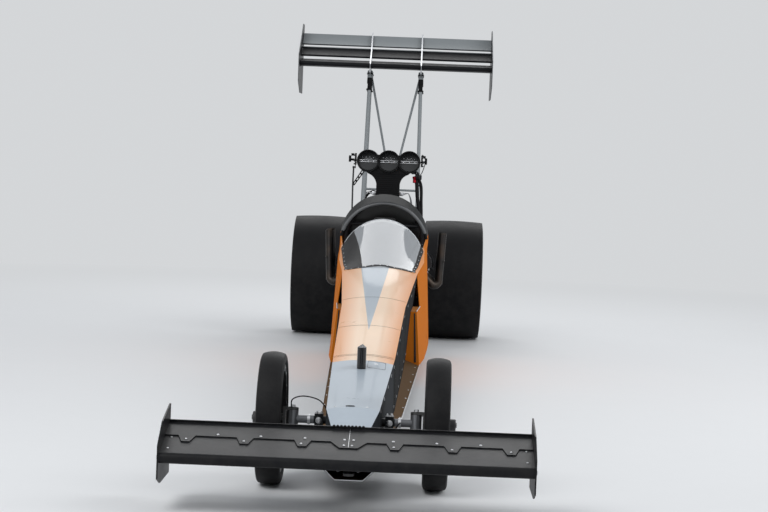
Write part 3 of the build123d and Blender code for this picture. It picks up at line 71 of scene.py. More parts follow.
def buildCamera(setup):
    yaw, pitch, roll = (math.radians(angle) for angle in setup["turn"])
    forward = Vector((math.sin(yaw) * math.cos(pitch), math.cos(yaw) * math.cos(pitch), -math.sin(pitch)))
    level = Vector((math.cos(yaw), -math.sin(yaw), 0.0))
    down = forward.cross(level)
    right = math.cos(roll) * level - math.sin(roll) * down
    up = -(math.sin(roll) * level + math.cos(roll) * down)
    data = bpy.data.cameras.new("photoCamera")
    data.lens, data.sensor_width, data.clip_end = setup["lens"], setup["sensor"], setup["reach"]
    camera = showObject("photoCamera", data)
    camera.matrix_world = Matrix.Translation(setup["place"]) @ Matrix((right, up, -forward)).transposed().to_4x4()
    bpy.context.scene.camera = camera


buildCamera(cameraSetup)
bpy.context.scene.view_settings.view_transform = "Standard"


# shader helpers, which add to the node tree that was started last
work = {"tree": None}


def feed(socket, value):
    # a link from an output, or a plain value, where a colour has three numbers
    if hasattr(value, "is_output"):
        work["tree"].links.new(value, socket)
    else:
        socket.default_value = (*value, 1) if socket.type == "RGBA" else value


def feedAll(node, **values):
    # settings of a node, and values or links for its inputs
    for key, value in values.items():
        if hasattr(node, key):
            setattr(node, key, value)
        else:
            feed(node.inputs[key.replace("_", " ")], value)
    return node


def addNode(kind, **values):
    return feedAll(work["tree"].nodes.new("ShaderNode" + kind), **values)


def mathNode(operation, a, b=None, clamp=False):
    node = addNode("Math", operation=operation, use_clamp=clamp)
    for socket, value in zip(node.inputs, (a, b)):
        if value is not None:
            feed(socket, value)
    return node.outputs[0]


def times(a, b, clamp=False):
    return mathNode("MULTIPLY", a, b, clamp)


def plus(a, b, clamp=False):
    return mathNode("ADD", a, b, clamp)


def minus(a, b, clamp=False):
    return mathNode("SUBTRACT", a, b, clamp)


def above(a, b):
    return mathNode("GREATER_THAN", a, b)


def larger(a, b):
    return mathNode("MAXIMUM", a, b)


def mixColours(share, a, b):
    node = addNode("Mix", data_type="RGBA")
    for slot, value in ((0, share), (6, a), (7, b)):
        feed(node.inputs[slot], value)
    return node.outputs[2]


def spread(value, low, high, outLow=0.0, outHigh=1.0):
    node = addNode("MapRange", From_Min=low, From_Max=high, To_Min=outLow, To_Max=outHigh, Value=value)
    return node.outputs["Result"]


def bump(height, strength, distance, **normal):
    return addNode("Bump", Strength=strength, Distance=distance, Height=height, **normal).outputs["Normal"]


def objectPlace():
    return addNode("TexCoord").outputs["Object"]


def axes(vector):
    node = addNode("SeparateXYZ", Vector=vector)
    return [node.outputs[axis] for axis in "XYZ"]


def noise(place, **values):
    return addNode("TexNoise", Vector=place, **values).outputs["Fac"]


def vectorMath(operation, a, b):
    node = addNode("VectorMath", operation=operation)
    feed(node.inputs[0], a)
    feed(node.inputs[1], b)
    return node.outputs


def newMaterial(name, **sockets):
    material = bpy.data.materials.new(name)
    material.use_nodes = True
    work["tree"] = material.node_tree
    return material, feedAll(work["tree"].nodes["Principled BSDF"], **sockets)


socketKinds = {
    "Base": "Color", "Color": "Color", "Dust": "Color", "Dark": "Color", "Light": "Color",
    "Normal": "Vector", "Stretch": "Vector",
}


def newGroup(name, outputs, **inputs):
    # a node group, each socket of the kind that its label says, or else a number
    group = work["tree"] = bpy.data.node_groups.new(name, "ShaderNodeTree")
    rows = [(key.replace("_", " "), "INPUT", value) for key, value in inputs.items()]
    for label, way, value in rows + [(label, "OUTPUT", None) for label in outputs]:
        kind = socketKinds.get(label, "Float")
        socket = group.interface.new_socket(label, in_out=way, socket_type="NodeSocket" + kind)
        if value is not None:
            socket.default_value = (*value, 1) if kind == "Color" else value
    return group.nodes.new("NodeGroupInput").outputs, group.nodes.new("NodeGroupOutput")


# shared effects, as node groups
def buildMottle():
    # slow changes of tone and gloss over a surface
    given, end = newGroup(
        "mottle", ("Color", "Roughness"), Base=(0.5, 0.5, 0.5), Size=6.0, Tone=0.15, Gloss=0.3, Gloss_Spread=0.1
    )
    place = objectPlace()
    coarse = noise(place, Detail=4.0, Roughness=0.6, Scale=given["Size"])
    fine = noise(place, Detail=5.0, Roughness=0.65, Scale=times(given["Size"], 9.0))
    centred = minus(plus(coarse, fine), 1.0)
    colour = addNode("VectorMath", operation="SCALE")
    feed(colour.inputs[0], given["Base"])
    feedAll(colour, Scale=plus(times(centred, given["Tone"]), 1.0))
    gloss = plus(times(centred, given["Gloss Spread"]), given["Gloss"], True)
    feedAll(end, Color=colour.outputs[0], Roughness=gloss)


def buildRoadFilm():
    # dried road water and dust, thicker towards the ground
    given, end = newGroup(
        "roadFilm", ("Color", "Roughness"),
        Color=(0.5, 0.5, 0.5), Roughness=0.4, Height=0.3, Amount=0.5, Dust=(0.16, 0.145, 0.125),
    )
    place = objectPlace()
    spots = spread(noise(place, Scale=14.0, Detail=6.0, Roughness=0.7), 0.38, 0.68)
    low = minus(1.0, mathNode("DIVIDE", axes(place)[2], given["Height"]), True)
    mask = times(times(low, spots), given["Amount"], True)
    rough = plus(given["Roughness"], times(mask, 0.5), True)
    feedAll(end, Color=mixColours(mask, given["Color"], given["Dust"]), Roughness=rough)


def buildWornEdges():
    # rounded normals on hard edges, and a mask where paint or black finish has rubbed off
    given, end = newGroup("wornEdges", ("Normal", "Mask"), Radius=0.002, Wear=0.5)
    soft = addNode("Bevel", samples=4, Radius=given["Radius"]).outputs["Normal"]
    across = vectorMath("DOT_PRODUCT", soft, addNode("NewGeometry").outputs["Normal"])
    edge = spread(across["Value"], 0.995, 0.9)
    broken = spread(noise(objectPlace(), Scale=60.0, Detail=4.0), 0.45, 0.62)
    feedAll(end, Normal=soft, Mask=times(times(edge, broken), given["Wear"], True))


def buildTwill():
    # woven cloth or carbon, over and under in a twill
    given, end = newGroup(
        "twill", ("Color", "Height"), Pitch=0.004, Dark=(0.005, 0.005, 0.0055), Light=(0.018, 0.018, 0.019)
    )
    x, y, z = axes(objectPlace())
    slant = plus(x, z)
    waves = []
    for way in (plus(slant, y), minus(slant, y)):
        turns = mathNode("DIVIDE", way, given["Pitch"])
        waves.append(mathNode("SINE", times(turns, math.pi)))
    weave = spread(times(*waves), -0.8, 0.8)
    feedAll(end, Color=mixColours(weave, given["Dark"], given["Light"]), Height=weave)


def buildGrain():
    # fine skin of a casting, of moulded plastic or of rubber
    given, end = newGroup("grain", ("Height",), Scale=400.0, Sharpness=0.5)
    skin = noise(objectPlace(), Detail=3.0, Scale=given["Scale"], Roughness=given["Sharpness"])
    feedAll(end, Height=skin)


def buildBrushed():
    # machining or brushing lines along one direction
    given, end = newGroup(
        "brushed", ("Roughness", "Height"), Stretch=(600.0, 6.0, 600.0), Gloss=0.3, Spread=0.15
    )
    place = vectorMath("MULTIPLY", objectPlace(), given["Stretch"])
    lines = noise(place[0], Scale=1.0, Detail=2.0)
    gloss = plus(times(minus(lines, 0.5), given["Spread"]), given["Gloss"], True)
    feedAll(end, Roughness=gloss, Height=lines)


for maker in (buildMottle, buildRoadFilm, buildWornEdges, buildTwill, buildGrain, buildBrushed):
    maker()


def useGroup(name, **values):
    return addNode("Group", node_tree=bpy.data.node_groups[name], **values).outputs


def mottled(base, size, tone, gloss=0.3, gap=0.1):
    group = useGroup("mottle", Base=base, Size=size, Tone=tone, Gloss=gloss, Gloss_Spread=gap)
    return group["Color"], group["Roughness"]


def filmed(colour, rough, height, amount, **dust):
    # road film over a colour, up to a height
    group = useGroup("roadFilm", Color=colour, Roughness=rough, Height=height, Amount=amount, **dust)
    return group["Color"], group["Roughness"]


# body paint, with its bands measured along the car
livery = {
    # the pale peach is a painted highlight down the cowl's middle, the two dark side colours are painted shade, and the
    # bronze is a painted reflection on the ledge
    "peachHighlight": (0.94, 0.71, 0.52), "orange": (0.74, 0.27, 0.055), "deepOrange": (0.62, 0.175, 0.014),
    "grey": (0.42, 0.48, 0.54), "bronzeReflection": (0.11, 0.062, 0.028),
    "noseSideShade": (0.024, 0.027, 0.031), "waistSideShade": (0.01, 0.011, 0.012),
    "flareStart": 3.98, "flareInside": 0.2405, "borderStation": 1.1,
    "veeTip": 2.02, "veeEnd": 4.45, "veeHalfWidth": 0.088, "veeOffset": -0.03,
    "highlightSpread": (0.34, 1.0), "halfWidths": (0.15, 0.238), "halfStations": (1.3, 4.45),
    "ledgeTop": 0.2, "sideGloss": 0.72, "facingUp": 0.35, "facingAhead": -0.8,
    "coatFacing": (0.3, 0.9), "coatMost": 0.26,
}


def bodyPaint(name):
    # grey nose, orange cowl paled to peach down its middle as a painted highlight, a grey wedge, sides darkened as
    # painted shade and a bronze painted reflection on the ledge
    material, shader = newMaterial(name, Coat_Roughness=0.06, Specular_IOR_Level=0.03)
    x, y, z = axes(objectPlace())
    facing = axes(addNode("NewGeometry").outputs["Normal"])
    wide = mathNode("ABSOLUTE", x)
    half = spread(y, *(station(s) for s in livery["halfStations"]), *livery["halfWidths"])
    border, cockpit, flareZone = (
        above(y, station(livery[key])) for key in ("borderStation", "veeEnd", "flareStart")
    )
    away = spread(y, station(livery["veeTip"]), station(livery["veeEnd"]))
    aside = mathNode("ABSOLUTE", minus(x, times(away, livery["veeOffset"])))
    up = above(facing[2], livery["facingUp"])
    ahead = mathNode("LESS_THAN", facing[1], livery["facingAhead"])
    flareFace = larger(above(wide, livery["flareInside"]), larger(ahead, cockpit))
    flare = times(flareZone, flareFace, True)
    ledge = times(up, mathNode("LESS_THAN", z, livery["ledgeTop"]))
    # painted highlight: the cowl pales from orange at its edges to peach towards its middle
    fade = spread(mathNode("DIVIDE", wide, half), *livery["highlightSpread"])
    warmWithHighlight, rough = mottled(mixColours(fade, livery["peachHighlight"], livery["orange"]), 3.0, 0.08, 0.3, 0.1)
    grey = mottled(livery["grey"], 3.0, 0.08)[0]
    inside = mathNode("LESS_THAN", aside, times(away, livery["veeHalfWidth"]))
    vee = times(inside, minus(1.0, cockpit))
    topColour = mixColours(vee, mixColours(border, grey, warmWithHighlight), grey)
    # painted shade: faces that don't look up get the near-black side colours instead of the paint
    shadedSide = mixColours(border, livery["noseSideShade"], livery["waistSideShade"])
    painted = mixColours(up, mixColours(flare, shadedSide, livery["deepOrange"]), topColour)
    # painted reflection: the up-facing ledge low on the sides gets the bronze colour
    painted, rough = filmed(mixColours(ledge, painted, livery["bronzeReflection"]), rough, 0.4, 0.08)
    flat = larger(ledge, minus(1.0, up))
    coat = times(spread(facing[2], *livery["coatFacing"], 0.0, livery["coatMost"]), minus(1.0, flat))
    rough = larger(rough, times(flat, livery["sideGloss"]))
    feedAll(shader, Base_Color=painted, Roughness=rough, Coat_Weight=coat)
    return material


def paintMaterial(name, base, gloss=0.28, coat=0.6, film=0.35, tone=0.06, worn=0.0, shine=0.5):
    # plain painted metal: mottled colour, road film and rubbed edges
    material, shader = newMaterial(name, Coat_Weight=coat, Coat_Roughness=0.08, Specular_IOR_Level=shine)
    colour, rough = filmed(*mottled(base, 5.0, tone, gloss, 0.12), 0.6, film)
    edges = useGroup("wornEdges", Radius=0.0015, Wear=worn)
    bare = mixColours(edges["Mask"], colour, (0.32, 0.33, 0.34))
    feedAll(shader, Base_Color=bare, Roughness=rough, Normal=edges["Normal"])
    return material


def rubberMaterial(name, base=(0.01, 0.01, 0.011), gloss=0.55, film=0.16):
    material, shader = newMaterial(name, Specular_IOR_Level=0.12)
    under = mottled(base, 9.0, 0.35, gloss, 0.2)
    colour, rough = filmed(*under, 0.9, film, Dust=(0.1, 0.095, 0.088))
    skin = useGroup("grain", Scale=500.0, Sharpness=0.7)
    feedAll(shader, Base_Color=colour, Roughness=rough, Normal=bump(skin["Height"], 0.25, 0.0006))
    return material


def metalMaterial(name, base, gloss=0.3, gap=0.15, stretch=(500.0, 8.0, 500.0), film=0.25, stain=None):
    # bare metal with machining or brushing lines
    material, shader = newMaterial(name, Metallic=1.0)
    lines = useGroup("brushed", Gloss=gloss, Spread=gap, Stretch=stretch)
    colour = mottled(base, 12.0, 0.18)[0]
    if stain is not None:
        patches = spread(noise(objectPlace(), Scale=7.0, Detail=5.0), 0.42, 0.62)
        colour = mixColours(patches, colour, stain)
    colour, rough = filmed(colour, lines["Roughness"], 0.7, film)
    edges = useGroup("wornEdges", Radius=0.0012, Wear=0.0)
    brushed = bump(lines["Height"], 0.08, 0.0003, Normal=edges["Normal"])
    feedAll(shader, Base_Color=colour, Roughness=rough, Normal=brushed)
    return material


def castMaterial(name, base, gloss=0.5, metallic=0.8, scale=450.0):
    material, shader = newMaterial(name, Metallic=metallic)
    colour, rough = filmed(*mottled(base, 10.0, 0.25, gloss, 0.15), 0.8, 0.3)
    edges = useGroup("wornEdges", Radius=0.003, Wear=0.6)
    bright = mixColours(edges["Mask"], colour, (0.55, 0.56, 0.58))
    skin = useGroup("grain", Scale=scale, Sharpness=0.6)
    grained = bump(skin["Height"], 0.35, 0.0008, Normal=edges["Normal"])
    feedAll(shader, Base_Color=bright, Roughness=rough, Normal=grained)
    return material


def carbonMaterial(name, pitch=0.004, coat=0.6, shine=0.4):
    material, shader = newMaterial(
        name, Coat_Weight=coat, Coat_Roughness=0.12, Roughness=0.45, Specular_IOR_Level=shine
    )
    weave = useGroup("twill", Pitch=pitch)
    feedAll(shader, Base_Color=weave["Color"], Normal=bump(weave["Height"], 0.15, 0.0004))
    return material


def fabricMaterial(name, dark, light, pitch=0.0016, sheen=0.3):
    material, shader = newMaterial(name, Roughness=0.85, Sheen_Weight=sheen, Sheen_Roughness=0.5)
    weave = useGroup("twill", Pitch=pitch, Dark=dark, Light=light)
    colour = mottled(weave["Color"], 18.0, 0.25)[0]
    feedAll(shader, Base_Color=colour, Normal=bump(weave["Height"], 0.4, 0.0006))
    return material


def braidMaterial(name, dark, light):
    # woven wire sleeve over a hose
    material, shader = newMaterial(name, Metallic=0.8, Roughness=0.38)
    weave = useGroup("twill", Pitch=0.0016, Dark=dark, Light=light)
    feedAll(shader, Base_Color=weave["Color"], Normal=bump(weave["Height"], 0.5, 0.0005))
    return material


def glassMaterial(name, tint, clear, low, high):
    # tinted clear plastic with faint scratches and dried drops
    material, shader = newMaterial(
        name, Transmission_Weight=clear, IOR=1.45, Metallic=0.0, Specular_IOR_Level=0.35
    )
    marks = noise(objectPlace(), Scale=45.0, Detail=5.0, Roughness=0.7)
    rough = spread(marks, 0.45, 0.75, low, high)
    feedAll(shader, Base_Color=mottled(tint, 4.0, 0.05)[0], Roughness=rough)
    return material


def splitPaint(name, axis, edge, below, beyond, gloss=0.32, metallic=0.0):
    # two colours, changed over at a distance along the car or from its middle
    material, shader = newMaterial(name, Coat_Weight=0.0, Specular_IOR_Level=0.1, Metallic=metallic)
    value = axes(objectPlace())[axis]
    share = above(mathNode("ABSOLUTE", value), edge)
    colour, rough = mottled(mixColours(share, below, beyond), 6.0, 0.14, gloss, 0.12)
    edges = useGroup("wornEdges", Radius=0.0015, Wear=0.25)
    worn = mixColours(edges["Mask"], colour, (0.3, 0.31, 0.32))
    feedAll(shader, Base_Color=worn, Roughness=rough, Normal=edges["Normal"])
    return material


finishes = {}


def addFinish(key, slot, wearers, maker, *values, **settings):
    # a material, the slot of the pieces that have it, which is not used, and the frame's nodes that wear it
    finishes[key] = (maker(key, *values, **settings), slot)
    for name in wearers.split():
        nodes[name].data.materials.clear()
        nodes[name].data.materials.append(finishes[key][0])


addFinish("body", "orange_paint", "belly_pan cockpit_tub main_cowl nose_cowl", bodyPaint)
addFinish("darkPanel", "dark_panel", "head_fairing",
          paintMaterial, (0.01, 0.011, 0.012), gloss=0.45, coat=0.0, film=0.15, shine=0.05)
addFinish("carbon", "carbon", "firewall", carbonMaterial)
addFinish("screen", "clear_screen", "windscreen", glassMaterial, (0.46, 0.49, 0.52), 0.5, 0.03, 0.16)
addFinish("screenEdge", "clear_screen", "", glassMaterial, (0.8, 0.84, 0.87), 0.3, 0.1, 0.2)
addFinish("blackSheet", "black_sheet", "front_endplates front_wing rear_endplates",
          paintMaterial, (0.01, 0.0105, 0.012), gloss=0.38, coat=0.02, film=0.08, tone=0.2, worn=0.3, shine=0.1)
addFinish("standGrey", "stand_grey", "wing_stand",
          paintMaterial, (0.25, 0.27, 0.28), gloss=0.4, coat=0.05, film=0.1, worn=0.2, shine=0.3)
addFinish("framePaint", "frame_paint", "front_frame rear_frame roll_cage wheelie_bars",
          paintMaterial, (0.02, 0.021, 0.024), gloss=0.32, coat=0.15, film=0.25, worn=0.4)
addFinish("tyre", "tyre_rubber", "front_tyre_left front_tyre_right rear_tyres", rubberMaterial)
addFinish("smallTyre", "small_tyre", "wheelie_wheels", rubberMaterial)
addFinish("beltRubber", "belt_rubber", "drive_belt", rubberMaterial, (0.018, 0.018, 0.019), 0.5, 0.15)
addFinish("foam", "seat_pad", "", rubberMaterial, (0.016, 0.016, 0.017), 0.75, 0.1)
addFinish("hose", "black_plastic", "", rubberMaterial, (0.014, 0.014, 0.015), 0.45, 0.1)
addFinish("wire", "black_plastic", "", rubberMaterial, (0.02, 0.02, 0.022), 0.4, 0.1)
addFinish("blackRim", "black_rim", "front_rim_left front_rim_right",
          paintMaterial, (0.014, 0.0145, 0.016), gloss=0.3, coat=0.15, worn=0.5)
addFinish("polishedRim", "polished_rim", "rear_rims",
          metalMaterial, (0.78, 0.79, 0.8), gloss=0.16, gap=0.1, stretch=(40.0, 40.0, 40.0))
addFinish("machined", "machined_steel", "rear_axle", metalMaterial, (0.5, 0.51, 0.53), gloss=0.28)
addFinish("alloy", "machined_aluminium", "", metalMaterial, (0.7, 0.71, 0.73), film=0.1)
addFinish("blackSteel", "black_steel", "knuckle_left knuckle_right steering_wheel tie_rod",
          paintMaterial, (0.02, 0.021, 0.023), gloss=0.35, coat=0.2, worn=0.6)
addFinish("castHousing", "cast_housing", "axle_housing", castMaterial, (0.1, 0.105, 0.11), metallic=0.5)
addFinish("castAlloy", "cast_aluminium", "cylinder_heads engine_block manifold",
          castMaterial, (0.42, 0.43, 0.45), gloss=0.42)
addFinish("blackAlloy", "black_aluminium", "drive_pulleys front_wing_carriers supercharger valve_covers",
          castMaterial, (0.028, 0.029, 0.032), gloss=0.36, metallic=0.6, scale=700.0)
addFinish("can", "titanium_can", "clutch_can",
          metalMaterial, (0.38, 0.37, 0.36), gloss=0.45, stretch=(60.0, 60.0, 60.0), stain=(0.3, 0.26, 0.22))
addFinish("header", "header_steel", "headers",
          metalMaterial, (0.04, 0.038, 0.037), gloss=0.42, stretch=(30.0, 30.0, 30.0), stain=(0.07, 0.055, 0.045))
addFinish("hat", "hat_black", "injector_hat", carbonMaterial, pitch=0.003, coat=0.02, shine=0.1)
addFinish("gloss", "black_plastic", "cowl_fin",
          paintMaterial, (0.008, 0.008, 0.009), gloss=0.2, coat=0.15, film=0.08, tone=0.05)
addFinish("packCloth", "pack_fabric", "parachute_packs", fabricMaterial, (0.012, 0.013, 0.016), (0.035, 0.037, 0.043))
addFinish("seatCloth", "seat_pad", "seat", fabricMaterial, (0.01, 0.01, 0.011), (0.03, 0.03, 0.032), pitch=0.002)
addFinish("webbing", "pack_fabric", "",
          fabricMaterial, (0.014, 0.015, 0.018), (0.05, 0.052, 0.06), pitch=0.0024, sheen=0.2)
addFinish("rearWing", "", "rear_wing", splitPaint, 1, 3.972, (0.01, 0.0105, 0.012), (0.25, 0.27, 0.28), gloss=0.45)
addFinish("axleTwoTone", "", "front_axle",
          splitPaint, 0, 0.172, (0.02, 0.021, 0.023), (0.17, 0.175, 0.185), metallic=0.6)
addFinish("linerPaint", "orange_paint", "", paintMaterial, (0.62, 0.15, 0.02), gloss=0.35, film=0.2)
addFinish("boltSteel", "machined_steel", "",
          metalMaterial, (0.58, 0.59, 0.61), gap=0.1, stretch=(80.0, 80.0, 80.0), film=0.2)
addFinish("blackBolt", "black_steel", "", paintMaterial, (0.025, 0.026, 0.028), gloss=0.38, coat=0.1, worn=0.5)
addFinish("bladeGrey", "machined_aluminium", "throttle_blades",
          paintMaterial, (0.03, 0.032, 0.034), gloss=0.4, coat=0.0, film=0.0, tone=0.2, worn=0.2, shine=0.3)
# painted highlight: the fairing's rolled rim is black, and this grey stands in for the highlight along it
addFinish("rimGrey", "frame_paint", "",
          paintMaterial, (0.13, 0.135, 0.14), gloss=0.35, coat=0.1, film=0.0, worn=0.2, shine=0.3)
addFinish("flatBlack", "black_plastic", "",
          paintMaterial, (0.006, 0.006, 0.007), gloss=0.5, coat=0.0, film=0.0, tone=0.3, shine=0.1)
addFinish("redAlloy", "machined_aluminium", "", metalMaterial, (0.26, 0.01, 0.018), gloss=0.24, gap=0.08, film=0.05)
addFinish("blueAlloy", "machined_aluminium", "", metalMaterial, (0.045, 0.075, 0.24), gloss=0.26, gap=0.08, film=0.05)
addFinish("braid", "machined_steel", "", braidMaterial, (0.1, 0.1, 0.11), (0.55, 0.56, 0.58))
print("stage: frame dressed")


# mesh helpers: each adds one form to a bmesh
def turnTo(axis):
    return Vector((0, 0, 1)).rotation_difference(Vector(axis).normalized()).to_matrix()


def flip(side, points):
    # points given for the left side, there or mirrored to the right
    return [Vector((side * x, y, z)) for x, y, z in points]


def lerp(a, b, share):
    return a + share * (b - a)


def bridgeRings(bm, rings, closed=False):
    pairs = list(zip(rings, rings[1:])) + ([(rings[-1], rings[0])] if closed else [])
    for first, second in pairs:
        for i in range(len(first)):
            after = (i + 1) % len(first)
            bm.faces.new((first[i], first[after], second[after], second[i]))


def closeRings(bm, rings):
    bridgeRings(bm, rings)
    bm.faces.new(list(reversed(rings[0])))
    bm.faces.new(rings[-1])


def turnedRings(bm, place, axis, profile, count):
    turn = turnTo(axis)
    rings = []
    for along, radius in profile:
        angles = [math.tau * i / count for i in range(count)]
        points = [Vector((radius * math.cos(angle), radius * math.sin(angle), along)) for angle in angles]
        rings.append([bm.verts.new(Vector(place) + turn @ point) for point in points])
    return rings


def addTurned(bm, place, axis, profile, count=20):
    # solid of (distance along, radius) pairs
    closeRings(bm, turnedRings(bm, place, axis, profile, count))


def addCollar(bm, place, axis, profile, count=40):
    # ring of a closed (distance along, radius) loop, open in the middle
    bridgeRings(bm, turnedRings(bm, place, axis, profile, count), closed=True)


def addBolt(bm, place, axis, radius=0.006, height=0.006, washer=1.45):
    # hex head on a washer
    axis, place = Vector(axis).normalized(), Vector(place)
    thin, wide = height * 0.25, radius * washer
    addTurned(bm, place - axis * 0.0005, axis, [(0, wide), (thin, wide), (thin + 0.0004, wide * 0.94)], 14)
    addTurned(bm, place + axis * thin, axis, [(0, radius), (height * 0.8, radius), (height, radius * 0.82)], 6)


def addButton(bm, place, axis, radius=0.007, height=0.0025):
    # domed fastener with a sunk slot ring
    rim = radius * 0.45
    profile = [(0, radius), (height * 0.5, radius), (height, radius * 0.7), (height, rim), (height * 0.55, rim * 0.8)]
    addTurned(bm, Vector(place) - Vector(axis).normalized() * 0.0005, axis, profile, 14)


def smoothPath(points, steps=6):
    # even curve through the points
    path = [Vector(point) for point in points]
    ends = [path[0] * 2 - path[1]] + path + [path[-1] * 2 - path[-2]]
    curve = []
    for a, b, c, d in zip(ends, ends[1:], ends[2:], ends[3:]):
        for t in (i / steps for i in range(steps)):
            squared = (2 * a - 5 * b + 4 * c - d) * t * t
            curve.append(0.5 * (2 * b + (c - a) * t + squared + (3 * b - a - 3 * c + d) * t ** 3))
    return curve + [path[-1]]


def headings(points):
    # each point with the path's direction there
    path = [Vector(point) for point in points]
    last = len(path) - 1
    return [(place, (path[min(i + 1, last)] - path[max(i - 1, 0)]).normalized()) for i, place in enumerate(path)]


def addTube(bm, points, radius, count=10, radii=None):
    rings = []
    side = None
    for i, (place, ahead) in enumerate(headings(points)):
        side = ahead.orthogonal() if side is None else side - ahead * side.dot(ahead)
        side.normalize()
        up = ahead.cross(side)
        wide = radii[i] if radii else radius
        angles = [math.tau * j / count for j in range(count)]
        rings.append([bm.verts.new(place + wide * (math.cos(angle) * side + math.sin(angle) * up)) for angle in angles])
    closeRings(bm, rings)


strapSection = ((-1, -0.6), (-0.96, -1), (0.96, -1), (1, -0.6), (1, 0.6), (0.96, 1), (-0.96, 1), (-1, 0.6))


def addStrap(bm, points, across, width, thickness):
    # flat strap along the points; across is its width's direction
    rings = []
    for place, ahead in headings(points):
        flat = Vector(across)
        flat = (flat - ahead * flat.dot(ahead)).normalized()
        proud = ahead.cross(flat)
        rings.append([
            bm.verts.new(place + flat * a * width / 2 + proud * b * thickness / 2) for a, b in strapSection
        ])
    closeRings(bm, rings)


def addBlock(bm, centre, size, chamfer, turn=None):
    # box with its edges broken
    before = set(bm.verts)
    matrix = Matrix.Translation(centre) @ (turn.to_4x4() if turn is not None else Matrix.Identity(4))
    bmesh.ops.create_cube(bm, size=1.0, matrix=matrix @ Matrix.Diagonal((*size, 1)))
    fresh = [vert for vert in bm.verts if vert not in before]
    edges = list({edge for vert in fresh for edge in vert.link_edges})
    bmesh.ops.bevel(bm, geom=edges, offset=chamfer, segments=2, profile=0.6, affect="EDGES")


def addPlate(bm, outline, offset):
    # flat plate through the outline's points, as thick as the offset
    lower = [bm.verts.new(Vector(point)) for point in outline]
    upper = [bm.verts.new(Vector(point) + Vector(offset)) for point in outline]
    closeRings(bm, [lower, upper])


def addSheet(bm, rows, thickness):
    # curved sheet through rows of points, thickened along its normals
    grid = [[bm.verts.new(Vector(point)) for point in row] for row in rows]
    faces = []
    for low, high in zip(grid, grid[1:]):
        for i in range(len(low) - 1):
            faces.append(bm.faces.new((low[i], low[i + 1], high[i + 1], high[i])))
    bmesh.ops.recalc_face_normals(bm, faces=faces)
    bmesh.ops.solidify(bm, geom=faces, thickness=thickness)


pieces = []
sharpAngle = math.radians(38)


def newPiece(name, finish, body="chassis"):
    # the bmesh of a piece in the making, which the forms are added to
    pieces.append((name, bmesh.new(), finish, body))
    return pieces[-1][1]


def newPieces(body="chassis", **finishOf):
    return [newPiece(name, finish, body) for name, finish in finishOf.items()]


def showMesh(name, bm):
    bmesh.ops.recalc_face_normals(bm, faces=bm.faces)
    mesh = bpy.data.meshes.new(name)
    bm.to_mesh(mesh)
    bm.free()
    return showObject(name, mesh)


def dressPiece(piece, finish, body):
    material, slot = finishes[finish]
    piece.data.materials.clear()
    piece.data.materials.append(material)
    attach(piece, body)


def closePieces(done):
    # each piece in the making becomes an object, and rides on its body
    for name, bm, finish, body in pieces:
        piece = showMesh(name, bm)
        piece.data.shade_smooth()
        piece.data.set_sharp_from_angle(angle=sharpAngle)
        dressPiece(piece, finish, body)
    pieces.clear()
    print("stage:", done)


# body outline by station: belly, ledge edge, waist and shoulder as (half width, height), and the crown's height
bodyRows = [
    (-0.5, (0.058, 0.104), (0.108, 0.15), (0.084, 0.172), (0.068, 0.29), 0.297),
    (-0.25, (0.096, 0.106), (0.14, 0.152), (0.112, 0.178), (0.11, 0.36), 0.371),
    (1.3, (0.15, 0.11), (0.196, 0.15), (0.158, 0.178), (0.15, 0.428), 0.445),
    (3.0, (0.2, 0.096), (0.244, 0.136), (0.176, 0.168), (0.18, 0.556), 0.58),
    (4.4495, (0.236, 0.086), (0.284, 0.126), (0.19, 0.16), (0.238, 0.664), 0.7),
    (4.45, (0.262, 0.086), (0.302, 0.13), (0.281, 0.3), (0.238, 0.664), 0.7),
    (5.1, (0.282, 0.082), (0.322, 0.13), (0.314, 0.3), (0.292, 0.73), 0.965),
    (5.6, (0.292, 0.08), (0.332, 0.13), (0.323, 0.3), (0.296, 0.78), 1.14),
    (5.94, (0.286, 0.08), (0.326, 0.13), (0.315, 0.3), (0.282, 0.79), 1.1),
]


def bodyRow(s):
    # the outline at a station
    for low, high in zip(bodyRows, bodyRows[1:]):
        if s <= high[0]:
            break
    share = (s - low[0]) / (high[0] - low[0])
    corners = [tuple(lerp(a, b, share) for a, b in zip(one, two)) for one, two in zip(low[1:5], high[1:5])]
    return *corners, lerp(low[5], high[5], share)


def crownArc(s):
    # the crown's height and its arc's radius
    halfWidth, shoulder = bodyRow(s)[3]
    crown = bodyRow(s)[4]
    rise = crown - shoulder
    return crown, (halfWidth ** 2 + rise ** 2) / (2 * rise)


def skinTop(s, x, proud=0.0):
    # point on the crown's arc
    crown, radius = crownArc(s)
    return Vector((x, station(s), crown - radius + math.sqrt(radius ** 2 - x * x) + proud))


def skinSide(s, share, side, proud=0.0):
    # point on the side, from 0 at the waist to 1 at the shoulder
    (x, z), (shoulderX, shoulderZ) = bodyRow(s)[2:4]
    return Vector((side * (lerp(x, shoulderX, share) + proud), station(s), lerp(z, shoulderZ, share)))


def skinLedge(s, share, side, proud=0.0):
    # point on the ledge, from 0 at its outer edge to 1 at the waist
    (x, z), (waistX, waistZ) = bodyRow(s)[1:3]
    return Vector((side * lerp(x, waistX, share), station(s), lerp(z, waistZ, share) + proud))


def skinLine(bm, s, width=0.0016, proud=0.0006):
    # thin strip across the body, from side to side over the crown
    halfWidth = bodyRow(s)[3][0]
    shares = (0.0, 0.35, 0.7, 1.0)
    points = [skinSide(s, share, -1, proud) for share in shares]
    points += [skinTop(s, halfWidth * i / 8, proud) for i in range(-7, 8)]
    points += [skinSide(s, share, 1, proud) for share in reversed(shares)]
    addStrap(bm, points, (0, 1, 0), width, 0.0008)


